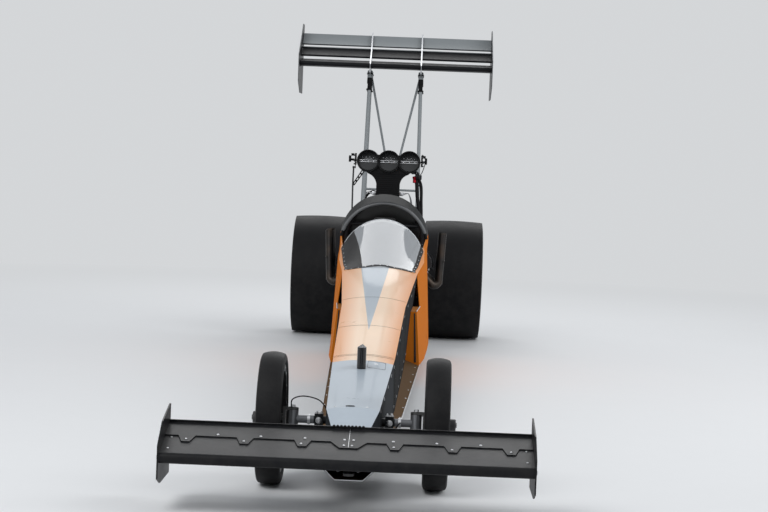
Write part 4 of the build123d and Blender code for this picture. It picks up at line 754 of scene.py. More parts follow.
# front wing: screws, centre seam, toothed rear strip, brackets
frontWing = {
    "origin": (-4.913, 0.212), "tilt": 13.0, "sheetTop": 0.0263,
    "screws": (  # distance along, radius, places across
        (0.207, 0.0058, (-0.52, -0.35, -0.175, -0.018, 0.018, 0.175, 0.347, 0.521)),
        (0.146, 0.005, (-0.64, -0.412, -0.187, -0.018, 0.014, 0.178, 0.407, 0.64)),
    ),
    "seam": (0.125, 0.18, 0.25, 0.332), "endScrews": (0.05, 0.17, 0.29),
    "teeth": 9, "teethAcross": (-0.066, 0.052), "teethPlace": (0.3295, 0.0355), "toothRadius": 0.0062,
}


def wingPoint(x, along, up):
    tilt = math.radians(frontWing["tilt"])
    y, z = frontWing["origin"]
    y += along * math.cos(tilt) - up * math.sin(tilt)
    return Vector((x, y, z + along * math.sin(tilt) + up * math.cos(tilt)))


def buildFrontWing(setup):
    tilt = math.radians(setup["tilt"])
    normal = (0, -math.sin(tilt), math.cos(tilt))
    screws, seam, edges, brackets = newPieces(
        frontWingScrews="boltSteel", frontWingSeam="alloy", frontWingEdging="blackSheet", endPlateBrackets="alloy"
    )
    for along, radius, places in setup["screws"]:
        for x in places:
            addButton(screws, wingPoint(x, along, setup["sheetTop"]), normal, radius, 0.003)
    path = [wingPoint(0, along, setup["sheetTop"] + 0.0002) for along in setup["seam"]]
    addStrap(seam, path, (1, 0, 0), 0.0018, 0.0008)
    for side in sides:
        for along in setup["endScrews"]:
            addButton(screws, wingPoint(side * 0.7347, along, 0.004), (side, 0, 0), 0.006, 0.003)
            addButton(screws, wingPoint(side * 0.7, along, 0.0222), normal, 0.0045, 0.0025)
        addBlock(edges, wingPoint(side * 0.712, 0.15, -0.016), (0.03, 0.26, 0.006), 0.001, turnTo(normal))
        for along in (0.02, 0.12):
            addBlock(brackets, wingPoint(side * 0.7375, along, -0.004), (0.004, 0.034, 0.018), 0.0015)
    for i in range(setup["teeth"]):
        place = wingPoint(lerp(*setup["teethAcross"], i / (setup["teeth"] - 1)), *setup["teethPlace"])
        addTurned(edges, place, (0, 1, 0.23), [(0, setup["toothRadius"]), (0.005, setup["toothRadius"])], 12)


# nose: hatch, joints, screws, mouth trim
nose = {
    "joints": (1.262, 2.18, 3.19), "mainJoint": 1.3,
    "hatch": (0.875, 1.085, 0.026, 0.11), "hatchCorner": 0.012,
    "screwStations": (-0.14, 0.2, 0.55, 0.9, 1.2, 1.62, 2.06, 2.48, 2.92, 3.36, 3.8, 4.24),
    "hole": (-0.222, -0.012), "holeRadii": (0.0175, 0.008),
    "mouth": ((0.0805, 0.176), (0.1035, 0.152), (0.058, 0.108)),
    "lining": ((0.0835, 0.176), (0.0775, 0.215), (0.0705, 0.262)),
    "liningDepth": ((-0.492, 0.0), (-0.43, 0.0075), (-0.36, 0.0158)),
}


def buildNose(setup):
    seams, screws, hole, trim, fins, liner = newPieces(
        bodySeams="gloss", bodyFasteners="boltSteel", noseVentPlug="gloss", mouthTrim="alloy",
        mouthCooler="blackAlloy", mouthLining="linerPaint",
    )
    for s in setup["joints"]:
        skinLine(seams, s)
    skinLine(seams, setup["mainJoint"], 0.0024, 0.0004)
    low, high, left, right = setup["hatch"]
    corner = setup["hatchCorner"]
    outline = []
    for i in range(33):
        c, s = math.cos(math.tau * i / 32), math.sin(math.tau * i / 32)
        x = (left + right) / 2 + ((right - left) / 2 - corner) * (1 if c > 0 else -1) + corner * c
        along = (low + high) / 2 + ((high - low) / 2 - corner) * (1 if s > 0 else -1) + corner * s
        outline.append(skinTop(along, x, 0.0004))
    addTube(seams, outline, 0.001, 6)
    for s in setup["screwStations"]:
        for side in sides:
            addButton(screws, skinSide(s, 0.9, side, -0.0002), (side, 0, 0.05), 0.0085, 0.0018)
            addButton(screws, skinSide(s, 0.12, side, -0.0002), (side, 0, 0.0), 0.007, 0.0018)
            addButton(screws, skinLedge(s, 0.25, side, -0.0002), (0, 0, 1), 0.0065, 0.0018)
    latch = skinTop((low + high) / 2 + 0.03, (left + right) / 2 - 0.004, -0.0002)
    addButton(screws, latch, (0, -0.04, 1), 0.011, 0.002)
    for x in (-0.075, 0.058):
        addButton(screws, skinTop(-0.215, x, -0.0002), (0, -0.05, 1), 0.006, 0.0018)
    wide, long = setup["holeRadii"]
    angles = [math.tau * i / 24 for i in range(25)]
    ring = [skinTop(*setup["hole"]) + Vector((wide * math.cos(a), long * math.sin(a), 0.0009)) for a in angles]
    addTube(hole, ring, 0.0022, 6)
    addPlate(hole, [point - Vector((0, 0, 0.001)) for point in ring[:-1]], (0, 0, 0.0006))
    y = station(-0.5) - 0.002
    for side in sides:
        addStrap(trim, [(side * x, y, z) for x, z in setup["mouth"]], (0, 1, 0), 0.01, 0.003)
        rows = [[(side * (x - 0.0052 + grow), station(s), z) for x, z in setup["lining"]]
                for s, grow in setup["liningDepth"]]
        addSheet(liner, rows, 0.0008)
    addStrap(trim, [(-0.058, y, 0.1075), (0.058, y, 0.1075)], (0, 1, 0), 0.012, 0.004)
    for i in range(7):
        addBlock(fins, (0, station(-0.455), 0.15 + i * 0.018), (0.062, 0.045, 0.005), 0.001)
    addBlock(fins, (0, station(-0.43), 0.205), (0.05, 0.014, 0.124), 0.002)


# strips along the sill and over the flares
sill = {
    "stations": (-0.49, -0.25, 0.5, 1.3, 2.2, 3.0, 3.7, 4.4495),
    "flareTop": ((0.2425, 4.0), (0.2632, 4.4485)), "flareHeight": 0.4618,
    "stripe": ((-0.004, 0.15), (0.009, 0.15), (-0.008, 0.452), (-0.016, 0.452)), "stripeX": 0.2435,
}


def buildSill(setup):
    bright, dark = newPieces(sillEdges="alloy", flareStripes="gloss")
    front = station(4.0) - 0.0014
    for side in sides:
        outward = Vector((side * 0.0004, 0, 0.0004))
        addTube(bright, [skinLedge(s, 0, side) + outward for s in setup["stations"]], 0.0028, 8)
        addTube(bright, [(side * x, station(s), setup["flareHeight"]) for x, s in setup["flareTop"]], 0.0032, 8)
        addPlate(dark, [(side * setup["stripeX"] + side * x, front, z) for x, z in setup["stripe"]], (0, 0.001, 0))


buildFrontWing(frontWing)
buildNose(nose)
buildSill(sill)
closePieces("front wing and nose detailed")


# windscreen: black band with screws, widened over the screen's sides into a painted dark reflection, clear skirt below
# its edge and a rolled rear edge
screen = {
    "coaming": (0.69, 0.85), "front": 4.45, "hoop": 5.44,
    "edge": (5.09, 0.85), "rake": 24.0, "rearHalf": 0.268, "rimHalf": 0.278,
    "strap": (4.462, 0.012, 22), "strapHalf": 0.205,
    "screws": 9, "screwsHalf": 0.18, "screwInset": 0.009, "skirtInset": 0.02,
    # past the screwed band these widths are a painted dark reflection on the screen, widest on the right
    "border": (  # station, width on the right, width on the left, reach below the edge
        (4.466, 0.03, 0.012, 0.085), (4.53, 0.056, 0.018, 0.052), (4.6, 0.07, 0.021, 0.042),
        (4.7, 0.078, 0.022, 0.031), (4.8, 0.082, 0.021, 0.022), (4.9, 0.082, 0.019, 0.015),
        (5.0, 0.08, 0.017, 0.01), (5.08, 0.076, 0.015, 0.006),
    ),
}


def screenEdge(s):
    # half width where the crown's arc meets the coaming
    crown, radius = crownArc(s)
    coaming = lerp(*screen["coaming"], (s - screen["front"]) / (screen["hoop"] - screen["front"]))
    return math.sqrt(max(radius ** 2 - (radius - (crown - coaming)) ** 2, 0.0))


def screenRear(x):
    # station of the screen's raked rear edge, found in small steps
    s, z = screen["edge"]
    rake = math.tan(math.radians(screen["rake"]))
    guess = s
    for _ in range(12):
        guess = s + (skinTop(guess, x).z - z) * rake
    return guess


def buildScreen(setup):
    band, screws, skirt, rear, rim = newPieces(
        screenBand="flatBlack", screenScrews="boltSteel", screenSkirt="screen", screenRearEdge="screenEdge",
        fairingRim="rimGrey",
    )
    # black border sheets, partly the screwed band and partly a painted dark reflection, with screws along them
    for side in sides:
        rows = []
        for s, wide, narrow, outward in setup["border"]:
            edge = screenEdge(s)
            inward = wide if side < 0 else narrow
            widths = [side * (edge + outward - (outward + inward) * i / 7) for i in range(8)]
            rows.append([skinTop(s, x, 0.0022) for x in widths])
            place = skinTop(s, side * (edge + outward - setup["screwInset"]), 0.003)
            across = (skinTop(s, side * (edge - 0.01)) - skinTop(s, side * edge)).normalized()
            addButton(screws, place, Vector((0, 1, 0.15)).cross(across) * side, 0.0042, 0.0024)
        rows.append([skinTop(max(screenRear(x) - 0.005, s), x, 0.0022) for x in widths])
        addSheet(band, rows, 0.001)
    rows = []
    for s, wide, narrow, outward in setup["border"]:
        start, end = screenEdge(s) - 0.03, screenEdge(s) + outward - setup["skirtInset"]
        rows.append([skinTop(s, start + (end - start) * i / 9, 0.0046) for i in range(10)])
    addSheet(skirt, rows, 0.001)
    s, bow, waves = setup["strap"]
    half = setup["strapHalf"]
    front = [skinTop(s + bow * math.cos(x * waves), x, 0.003) for x in [-half + 2 * half * i / 28 for i in range(29)]]
    addStrap(band, front, (0, 1, 0.3), 0.016, 0.002)
    half = setup["screwsHalf"]
    for x in [-half + 2 * half * i / (setup["screws"] - 1) for i in range(setup["screws"])]:
        addButton(screws, skinTop(s + bow * math.cos(x * waves), x, 0.0036), (0, -0.25, 1), 0.004, 0.0018)
    half = setup["rearHalf"]
    path = [skinTop(screenRear(x), x, -0.0018) for x in [-half + 2 * half * i / 28 for i in range(29)]]
    addTube(rear, [point for point in path if point.z > setup["edge"][1] - 0.042], 0.0042, 8)
    # rolled rim at the fairing's front edge, coloured grey as a painted highlight
    half = setup["rimHalf"]
    addTube(rim, [skinTop(setup["hoop"], -half + 2 * half * i / 40, -0.003) for i in range(41)], 0.0118, 12)


# cockpit: dash panel, levers, cage padding
cockpit = {
    "dash": (4.865, 0.665, 0.79, 0.185), "gauges": (-0.14, -0.11, 0.11, 0.14),
    "stay": ((0.165, 0.685), (0.19, 0.6), (0.219, 0.545)),
    "levers": ((-0.222, 5.02, 0.54, 0.17), (0.224, 5.0, 0.54, 0.19), (0.228, 5.1, 0.525, 0.15)),
    "hoop": (5.56, 0.8267, 0.2693), "pads": ((2, 13), (15, 17), (19, 30)), "headBar": (0.2487, 0.93),
}


def buildCockpit(setup):
    dash, face, levers, knobs, pads, bar = newPieces(
        dashPanel="carbon", dashScreen="gloss", controlLevers="alloy", leverKnobs="redAlloy",
        cagePadding="foam", headBar="framePaint",
    )
    s, low, high, half = setup["dash"]
    y = station(s)
    arch = [(half * i / 8, high - 0.045 * (i / 8) ** 2) for i in range(-8, 9)]
    outline = [(x, y + 0.02 * (z - low), z) for x, z in arch] + [(x, y, low) for x in (half, 0.06, -0.06, -half)]
    addPlate(dash, outline, (0, 0.004, 0))
    addBlock(dash, (0, y + 0.014, 0.725), (0.145, 0.018, 0.062), 0.004)
    for x in setup["gauges"]:
        addTurned(dash, (x, y + 0.003, 0.705), (0, 1, 0), [(0, 0.009), (0.012, 0.009), (0.013, 0.007)], 16)
    for side in sides:
        addTube(dash, [(side * x, y + 0.004, z) for x, z in setup["stay"]], 0.007, 10)
    addBlock(face, (0, y + 0.0235, 0.726), (0.125, 0.0015, 0.045), 0.0004)
    for x, place, base, rise in setup["levers"]:
        foot = Vector((x, station(place), base))
        top = foot + Vector((-0.02 if x > 0 else 0.02, -0.05, rise))
        addTube(levers, smoothPath([foot, foot + Vector((0, -0.01, rise * 0.4)), top], 5), 0.006, 10)
        addBlock(levers, foot + Vector((0, 0, 0.01)), (0.016, 0.05, 0.036), 0.003)
        profile = [(0, 0.009), (0.008, 0.014), (0.022, 0.014), (0.03, 0.008)]
        addTurned(knobs, top - Vector((0, 0, 0.006)), (0, -0.2, 1), profile, 16)
    s, height, radius = setup["hoop"]
    angles = [math.radians(38 + 104 * i / 32) for i in range(33)]
    arc = [(radius * math.cos(angle), station(s), height + radius * math.sin(angle)) for angle in angles]
    for first, last in setup["pads"]:
        radii = [0.0205 if i in (first, last) else 0.0235 for i in range(first, last + 1)]
        addTube(pads, arc[first:last + 1], 0.0235, 14, radii)
    half, height = setup["headBar"]
    addTube(bar, [(-half, station(s), height), (half, station(s), height)], 0.011, 16)


# belts over the seat
belts = {
    "width": 0.05, "thickness": 0.0028,
    "shoulder": (
        (0.112, 1.432, 0.752), (0.11, 1.412, 0.7665), (0.106, 1.38, 0.752), (0.098, 1.362, 0.68),
        (0.085, 1.33, 0.52), (0.07, 1.302, 0.4), (0.05, 1.268, 0.305), (0.024, 1.222, 0.232),
        (0.01, 1.198, 0.2085),
    ),
    "lap": ((0.17, 1.238, 0.214), (0.14, 1.226, 0.2045), (0.095, 1.208, 0.2005), (0.02, 1.19, 0.2035)),
    "crotch": ((0, 1.192, 0.204), (0, 1.15, 0.1985), (0, 1.1, 0.196), (0, 1.04, 0.19), (0, 1.012, 0.178)),
}


def buildBelts(setup):
    webbing, metal = newPieces(harnessWebbing="webbing", harnessBuckles="alloy")
    size = setup["width"], setup["thickness"]
    for side in sides:
        addStrap(webbing, smoothPath(flip(side, setup["shoulder"]), 5), (1, 0, 0.1 * side), *size)
        addStrap(webbing, smoothPath(flip(side, setup["lap"]), 5), (0, 1, 0.35), *size)
        addBlock(metal, (side * 0.0865, 1.3335, 0.53), (0.062, 0.008, 0.04), 0.0025, turnTo((0, 0.22, 1)))
        addBlock(metal, (side * 0.112, 1.2125, 0.2045), (0.036, 0.058, 0.008), 0.0025)
    addStrap(webbing, smoothPath(setup["crotch"], 4), (1, 0, 0), *size)
    addTurned(metal, (0, 1.19, 0.204), (0, -0.2, 1), [(0, 0.036), (0.01, 0.038), (0.016, 0.03), (0.018, 0.012)], 28)


# wheel grips and hub cap, on the steering wheel
grips = {"centre": (4.98, 0.64), "tilt": 20.0, "x": 0.118, "half": 0.058, "radius": 0.0185, "screwRing": 0.0285}


def buildGrips(setup):
    sleeves, hub = newPieces("steering_wheel", wheelGrips="foam", wheelHubCap="alloy")
    tilt = math.radians(setup["tilt"])
    s, z = setup["centre"]
    up, out = Vector((0, -math.sin(tilt), math.cos(tilt))), Vector((0, math.cos(tilt), math.sin(tilt)))
    centre = Vector((0, station(s), z)) + out * 0.012
    radii = [setup["radius"] * (0.8 if abs(i) == 6 else 0.98 + 0.05 * (i % 2)) for i in range(-6, 7)]
    for side in sides:
        middle = centre + Vector((side * setup["x"], 0, 0))
        addTube(sleeves, [middle + up * setup["half"] * i / 6 for i in range(-6, 7)], setup["radius"], 16, radii)
    addTurned(hub, centre + out * 0.0115, out, [(0, 0.026), (0.004, 0.026), (0.007, 0.02), (0.009, 0.008)], 28)
    for angle in [math.tau * i / 6 for i in range(6)]:
        across = math.cos(angle) * setup["screwRing"]
        spot = centre + Vector((across, 0, 0)) + up * math.sin(angle) * setup["screwRing"]
        addBolt(hub, spot + out * 0.0115, out, 0.003, 0.004)


# soft pads: cloth blown up round a remeshed block
padding = {"voxel": 0.006, "steps": 20, "pressure": 4.0, "quality": 4}


def applyModifiers(piece):
    graph = bpy.context.evaluated_depsgraph_get()
    shaped = bpy.data.meshes.new_from_object(piece.evaluated_get(graph))
    piece.modifiers.clear()
    piece.data = shaped


def inflate(name, bm, swell, finish, replaced=(), creases=None):
    # remesh, blow up as cloth, cap the movement, and smooth once
    piece = showMesh(name, bm)
    remesh = piece.modifiers.new("remesh", "REMESH")
    remesh.mode = "VOXEL"
    remesh.voxel_size = padding["voxel"]
    applyModifiers(piece)
    rest = [vert.co.copy() for vert in piece.data.vertices]
    cloth = piece.modifiers.new("cloth", "CLOTH")
    cloth.settings.use_pressure = True
    cloth.settings.uniform_pressure_force = padding["pressure"]
    cloth.settings.effector_weights.gravity = 0.0
    cloth.settings.quality = padding["quality"]
    scene = bpy.context.scene
    cloth.point_cache.frame_start = 1
    cloth.point_cache.frame_end = padding["steps"]
    for frameNumber in range(1, padding["steps"] + 1):
        scene.frame_set(frameNumber)
    applyModifiers(piece)
    for vert, before in zip(piece.data.vertices, rest):
        moved = vert.co - before
        if moved.length > swell:
            vert.co = before + moved.normalized() * swell
    scene.frame_set(1)
    piece.modifiers.new("finer", "SUBSURF").levels = 1
    applyModifiers(piece)
    if creases:
        for vert in piece.data.vertices:
            vert.co = creases(vert.co)
    piece.data.shade_smooth()
    dressPiece(piece, finish, "chassis")
    if replaced:
        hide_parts(*replaced)


def buildPads():
    cushion = bmesh.new()
    addBlock(cushion, (0, 1.128, 0.1765), (0.318, 0.224, 0.022), 0.008)
    inflate("seatCushion", cushion, 0.01, "seatCloth")
    hip, top = Vector((0, 1.255, 0.1653)), Vector((0, 1.385, 0.76))
    along = (top - hip).normalized()
    out = Vector((0, -along.z, along.y))
    for name, start, length, wide in (("backPadLow", 0.06, 0.235, 0.31), ("backPadHigh", 0.325, 0.235, 0.29)):
        block = bmesh.new()
        centre = hip + along * (start + length / 2) + out * 0.0105
        addBlock(block, centre, (wide, 0.022, length), 0.008, turnTo(along))
        inflate(name, block, 0.01, "seatCloth")
    head = bmesh.new()
    addBlock(head, (0, station(5.524), 0.93), (0.15, 0.046, 0.1), 0.016)
    inflate("headPad", head, 0.01, "seatCloth")


# parachute packs: soft bags with straps, flaps and ripcord cables
packs = {
    "x": 0.15, "z": 0.8, "wide": 0.22, "high": 0.26, "front": 8.0, "length": 0.36, "inset": 0.014,
    "bands": (-0.42, 0.3),  # strap places, as shares of half the length
    "flap": ((-0.07, 0, -0.085), (-0.02, 0.003, 0), (0.03, 0, 0.085)),
    "tether": (
        (0.02, 4.01, 0.546), (0.05, 4.1, 0.56), (0.095, 4.215, 0.6), (0.11, 4.268, 0.655), (0.11, 4.266, 0.72),
    ),
}


def buildPacks(setup):
    x, z, length, inset = (setup[key] for key in ("x", "z", "length", "inset"))
    y0 = station(setup["front"])
    middleY = y0 + length / 2
    both = bmesh.new()
    size = [setup[key] - 2 * inset for key in ("wide", "length", "high")]
    for side in sides:
        addBlock(both, (side * x, middleY, z), size, 0.05)

    def tighten(point):
        # the sewn bindings round the bag, and ripples in its cloth
        along = (point.y - middleY) / (length / 2)
        centre = Vector(((1 if point.x > 0 else -1) * x, point.y, z))
        pinch = 0.0
        for band in setup["bands"]:
            pinch += 0.018 * math.exp(-((along - band) / 0.09) ** 2)
        ripple = 0.0016 * math.sin(point.y * 190 + point.x * 60) * math.sin(point.z * 90)
        fresh = centre + (point - centre) * (1 - pinch * 2.2) + (point - centre).normalized() * ripple
        fresh.y = point.y
        return fresh

    inflate("parachuteBags", both, 0.012, "packCloth", ("parachute_packs",), tighten)
    straps, buckles, tethers = newPieces(packStraps="webbing", packBuckles="alloy", packTethers="webbing")
    hi, wi = setup["high"] / 2 - 0.006, setup["wide"] / 2 - 0.006
    back = y0 + length - 0.006
    for side in sides:
        for y in [middleY + band * length / 2 for band in setup["bands"]]:
            loop = []
            for angle in [math.tau * i / 36 for i in range(37)]:
                c, s = math.cos(angle), math.sin(angle)
                power = (abs(c) ** 4 + abs(s) ** 4) ** -0.25
                loop.append((side * x + wi * 0.965 * c * power, y, z + hi * 0.965 * s * power))
            addStrap(straps, loop, (0, 1, 0), 0.036, 0.0026)
            addBlock(buckles, (side * x, y, z + hi * 0.965 + 0.003), (0.046, 0.044, 0.006), 0.002)
        path = [(side * x + dx, back + dy, z + dz) for dx, dy, dz in setup["flap"]]
        addStrap(straps, path, (1, 0, -0.5), 0.03, 0.0026)
        disc = [(0, 0.03), (0.004, 0.03), (0.006, 0.024)]
        addTurned(buckles, (side * x, back - 0.004, z + 0.02), (0, 1, 0), disc, 24)
        for i in range(3):
            place = (side * (x + 0.055), y0 + 0.06 + 0.11 * i, z + hi - 0.012)
            addTurned(buckles, place, (0, 0, 1), [(0, 0.008), (0.01, 0.008), (0.012, 0.005)], 14)
        addStrap(tethers, smoothPath(flip(side, setup["tether"]), 6), (1, -0.3 * side, 0), 0.032, 0.004)


buildScreen(screen)
buildCockpit(cockpit)
buildBelts(belts)
buildGrips(grips)
buildPads()
buildPacks(packs)
closePieces("cockpit and packs detailed")


# engine: bolts, plug wires, straps, lines, hat fittings
root = math.sqrt(0.5)  # both parts of a step along a bank, which leans by 45 degrees
engine = {
    "crankZ": 0.4, "firstPort": 2.142, "borePitch": 0.122,
    "bankBolts": (  # distance, along, y, step, count, up or down, radius, height
        (0.364, -0.0785, 2.06, 0.106, 6, 1, 0.0052, 0.007), (0.364, 0.0785, 2.06, 0.106, 6, 1, 0.0052, 0.007),
        (0.308, 0.099, 2.108, 0.122, 4, -1, 0.0048, 0.007), (0.308, 0.099, 2.176, 0.122, 4, -1, 0.0048, 0.007),
        (0.24, 0.0925, 2.085, 0.12, 5, -1, 0.0055, 0.006),
    ),
    "sideBolts": (  # first place, step, count, axis, radius, height
        ((0.122, 2.055, 0.262), 0.06, 10, (1, -0.001), 0.0038, 0.005),
        ((0.127, 2.12, 0.768), 0.0585, 8, (0, 1), 0.0045, 0.007),
        ((0.1238, 2.11, 0.988), 0.0613, 8, (0, 1), 0.0036, 0.006),
        ((0.102, 2.19, 1.004), 0.072, 4, (0, 1), 0.0048, 0.007),
    ),
    "rotor": (0.87, 0.055, 0.062, 0.083), "blower": (2.09, 2.56),
    "beltY": 1.955, "beltZ": (0.4, 0.87), "beltX": (0.072, 0.084),
    "pulleys": ((0.87, 0.058, 0.084), (0.4, 0.05, 0.072)), "teeth": 46,
    "magneto": (0.142, 1.963, 0.754), "shaft": (2.129, 1.362), "inlets": (-0.147, 0.0, 0.147),
    "feed": (
        (0.15, 1.968, 0.285), (0.205, 1.95, 0.33), (0.214, 1.935, 0.45), (0.205, 1.94, 0.58),
        (0.1965, 1.985, 0.7), (0.18, 2.06, 0.748),
    ),
    "hoses": (  # radius, sides, points
        (0.0135, 12, ((0.19, 2.16, 1.262), (0.205, 2.172, 1.215), (0.213, 2.185, 1.12), (0.228, 2.2, 1.02),
                      (0.232, 2.215, 0.9), (0.216, 2.225, 0.8))),
        (0.0115, 12, ((0.216, 2.165, 1.25), (0.238, 2.18, 1.19), (0.243, 2.2, 1.08), (0.248, 2.22, 0.96),
                      (0.243, 2.24, 0.85), (0.222, 2.25, 0.79))),
        (0.0085, 10, ((-0.06, 2.3, 1.13), (-0.12, 2.29, 1.138), (-0.165, 2.27, 1.08), (-0.18, 2.25, 0.95),
                      (-0.176, 2.24, 0.79))),
    ),
    "shutoff": (
        ((0.183, 2.15, 1.292), (0.036, 0.03, 0.03)), ((0.207, 2.158, 1.268), (0.03, 0.03, 0.04)),
        ((0.227, 2.168, 1.256), (0.026, 0.026, 0.034)),
    ),
    "redFitting": [(0, 0.01), (0.003, 0.0135), (0.014, 0.0135), (0.016, 0.011), (0.034, 0.011), (0.036, 0.0125),
                   (0.044, 0.0125), (0.046, 0.009)],
    "straps": (2.102, 2.53),
    "strapPath": ((0.1465, 0.7755), (0.156, 0.8), (0.164, 0.845), (0.164, 0.895), (0.148, 0.945),
                  (0.1345, 0.9955), (0.12, 0.9985)),
}


def bankPoint(side, distance, along, y):
    return Vector((side * (distance + along) * root, y, engine["crankZ"] + (distance - along) * root))


def portY(i):
    return engine["firstPort"] + i * engine["borePitch"]


def circleSpots(count, radius, phase=0.5):
    # offsets round a wheel
    angles = [math.tau * (i + phase) / count for i in range(count)]
    return [(radius * math.cos(angle), radius * math.sin(angle)) for angle in angles]


def addHoop(bm, place, axis, inner, outer, length, count):
    addCollar(bm, place, axis, [(0, inner), (0, outer), (length, outer), (length, inner)], count)


def buildEngineBolts(setup):
    bolts, flanges, teeth = newPieces(engineBolts="boltSteel", pulleyFlanges="alloy", beltTeeth="beltRubber")
    for side in sides:
        for distance, along, y, step, count, up, radius, height in setup["bankBolts"]:
            for i in range(count):
                addBolt(bolts, bankPoint(side, distance, along, y + i * step), (side, 0, up), radius, height)
        for (x, y, z), step, count, (out, up), radius, height in setup["sideBolts"]:
            for i in range(count):
                addBolt(bolts, (side * x, y + i * step, z), (side * out, 0, up), radius, height)
    z, small, centre, large = setup["rotor"]
    front, back = setup["blower"]
    for dx, dz in circleSpots(8, small):
        addBolt(bolts, (dx, front - 0.034, z + dz), (0, -1, 0), 0.004, 0.005)
    for side in sides:
        for angle in [math.radians(140 * i / 6 - 70) for i in range(7)]:
            x, up = side * (centre + large * math.cos(angle)), z + large * math.sin(angle)
            addBolt(bolts, (x, back, up), (0, 1, 0), 0.004, 0.005)
            addBolt(bolts, (x, front, up), (0, -1, 0), 0.004, 0.005)
    for z, ring, rim in setup["pulleys"]:
        for dx, dz in circleSpots(8, ring, 0.0):
            addBolt(flanges, (dx, setup["beltY"] - 0.041, z + dz), (0, -1, 0), 0.0045, 0.006)
        for y in (-0.0405, 0.0385):
            addHoop(flanges, (0, setup["beltY"] + y, z), (0, 1, 0), rim - 0.004, rim + 0.0105, 0.002, 56)
    # inner ribs on the two straight runs of the belt
    low, high = setup["beltZ"]
    for i in range(setup["teeth"]):
        z = 0.405 + 0.46 * (i + 0.5) / setup["teeth"]
        x = lerp(*setup["beltX"], (z - low) / (high - low)) - 0.0018
        for side in sides:
            addBlock(teeth, (side * x, setup["beltY"], z), (0.004, 0.072, 0.0052), 0.0009)


def buildPlugWires(setup):
    wires, boots, towers = newPieces(plugWires="wire", plugBoots="hose", magnetoTowers="gloss")
    x0, y0, z0 = setup["magneto"]
    bootProfile = [(0, 0.0105), (0.012, 0.0105), (0.02, 0.0085), (0.036, 0.0075), (0.04, 0.0055)]
    for side in sides:
        for i, (dx, dy) in enumerate(circleSpots(8, 0.029)):
            tower = Vector((side * x0 + dx, y0 + dy, z0))
            towerProfile = [(0, 0.0075), (0.014, 0.007), (0.017, 0.0052)]
            addTurned(towers, tower - Vector((0, 0, 0.001)), (0, 0, 1), towerProfile, 12)
            cylinder = i % 4
            y = portY(cylinder) - 0.012
            if i >= 4:
                # outer plug, reached over the valve cover
                plug, direction = bankPoint(side, 0.386, 0.0722, y), Vector((side * root, 0, -root))
                steps = ((0.436, -0.052, -0.05), (0.4455, -0.004, -0.012), (0.43, 0.06, 0))
                route = [bankPoint(side, distance, along, y + shift) for distance, along, shift in steps]
            else:
                plug, direction = bankPoint(side, 0.386, -0.0722, y + 0.03), Vector((-side * root, 0, root))
                route = [plug + direction * 0.05 + Vector((0, -0.05, 0.01))]
            x, z = side * (0.196 + 0.009 * (i % 3)), 0.778 + 0.009 * cylinder
            loom = [Vector((side * 0.176, 2.02, 0.8 + 0.006 * cylinder)), Vector((x, 2.075, z))]
            if cylinder:
                loom.append(Vector((x, (2.075 + y) / 2, z - 0.004)))
            lift = [tower + Vector((0, 0, up)) for up in (0.015, 0.052 + 0.004 * (i % 3))]
            addTube(wires, smoothPath(lift + loom + route + [plug + direction * 0.034], 6), 0.0041, 8)
            addTurned(boots, plug - direction * 0.003, direction, bootProfile, 14)
        addTurned(towers, (side * x0, y0, z0 - 0.0005), (0, 0, 1), [(0, 0.018), (0.007, 0.018), (0.01, 0.012)], 20)
        addHoop(boots, (side * x0, y0, 0.7165), (0, 0, 1), 0.0375, 0.0455, 0.007, 36)
        for y in (2.1, 2.25, 2.4):
            addBlock(boots, (side * 0.205, y, 0.787), (0.042, 0.01, 0.036), 0.003)


def buildFuelLines(setup):
    braid, fittings, black, red, mount = newPieces(
        braidedLines="braid", lineFittings="blueAlloy", blackHoses="hose", redFitting="redAlloy",
        fuelShutoff="blackAlloy",
    )

    def hose(points, radius):
        curve = smoothPath(points, 7)
        addTube(braid, curve, radius, 12)
        slim, wide = radius * 1.2, radius * 1.55
        nut = [(0, slim), (0.006, wide), (0.016, wide), (0.018, radius * 1.25), (0.03, slim)]
        for end, inner in ((curve[0], curve[1]), (curve[-1], curve[-2])):
            axis = (inner - end).normalized()
            addTurned(fittings, end - axis * 0.004, axis, nut, 6)
            addTurned(fittings, end + axis * 0.012, axis, [(0, radius * 1.3), (0.022, radius * 1.25)], 14)

    for side in sides:
        addTube(fittings, [(side * 0.1725, y, 0.748) for y in (2.06, 2.6)], 0.0085, 12)
        for y in [portY(i) + 0.03 for i in range(4)]:
            start = Vector((side * 0.1725, y - 0.02, 0.7565))
            end = bankPoint(side, 0.338, -0.0925, y)
            rise, fall = Vector((side * 0.004, 0, 0.02)), Vector((-side * 0.012, 0, 0.022))
            hose([start, start + rise, end + fall, end], 0.0038)
        for y in [portY(i) - 0.02 for i in range(4)]:
            steps = ((0.15, 0, 0.8), (0.176, -0.006, 0.792), (0.182, -0.01, 0.77), (0.174, -0.012, 0.757))
            hose([(side * x, y + shift, z) for x, shift, z in steps], 0.003)
    # feed from the pumps, up the engine's front corners
    hose(setup["feed"], 0.0125)
    hose(flip(-1, setup["feed"]), 0.0105)
    for radius, count, points in setup["hoses"]:
        addTube(black, smoothPath(points, 7), radius, count)
    for x, z in ((0.199, 1.238), (0.214, 1.19)):
        points = [(x, 2.15, z), (x + 0.02, 2.12, z + 0.02), (x + 0.012, 2.1, z + 0.055), (0.19, 2.118, 1.29)]
        addTube(black, smoothPath(points, 6), 0.0035, 8)
    addTurned(red, (0.187, 2.145, 1.262), (0.05, 0.1, -1), setup["redFitting"], 14)
    for place, size in setup["shutoff"]:
        addBlock(mount, place, size, 0.004)


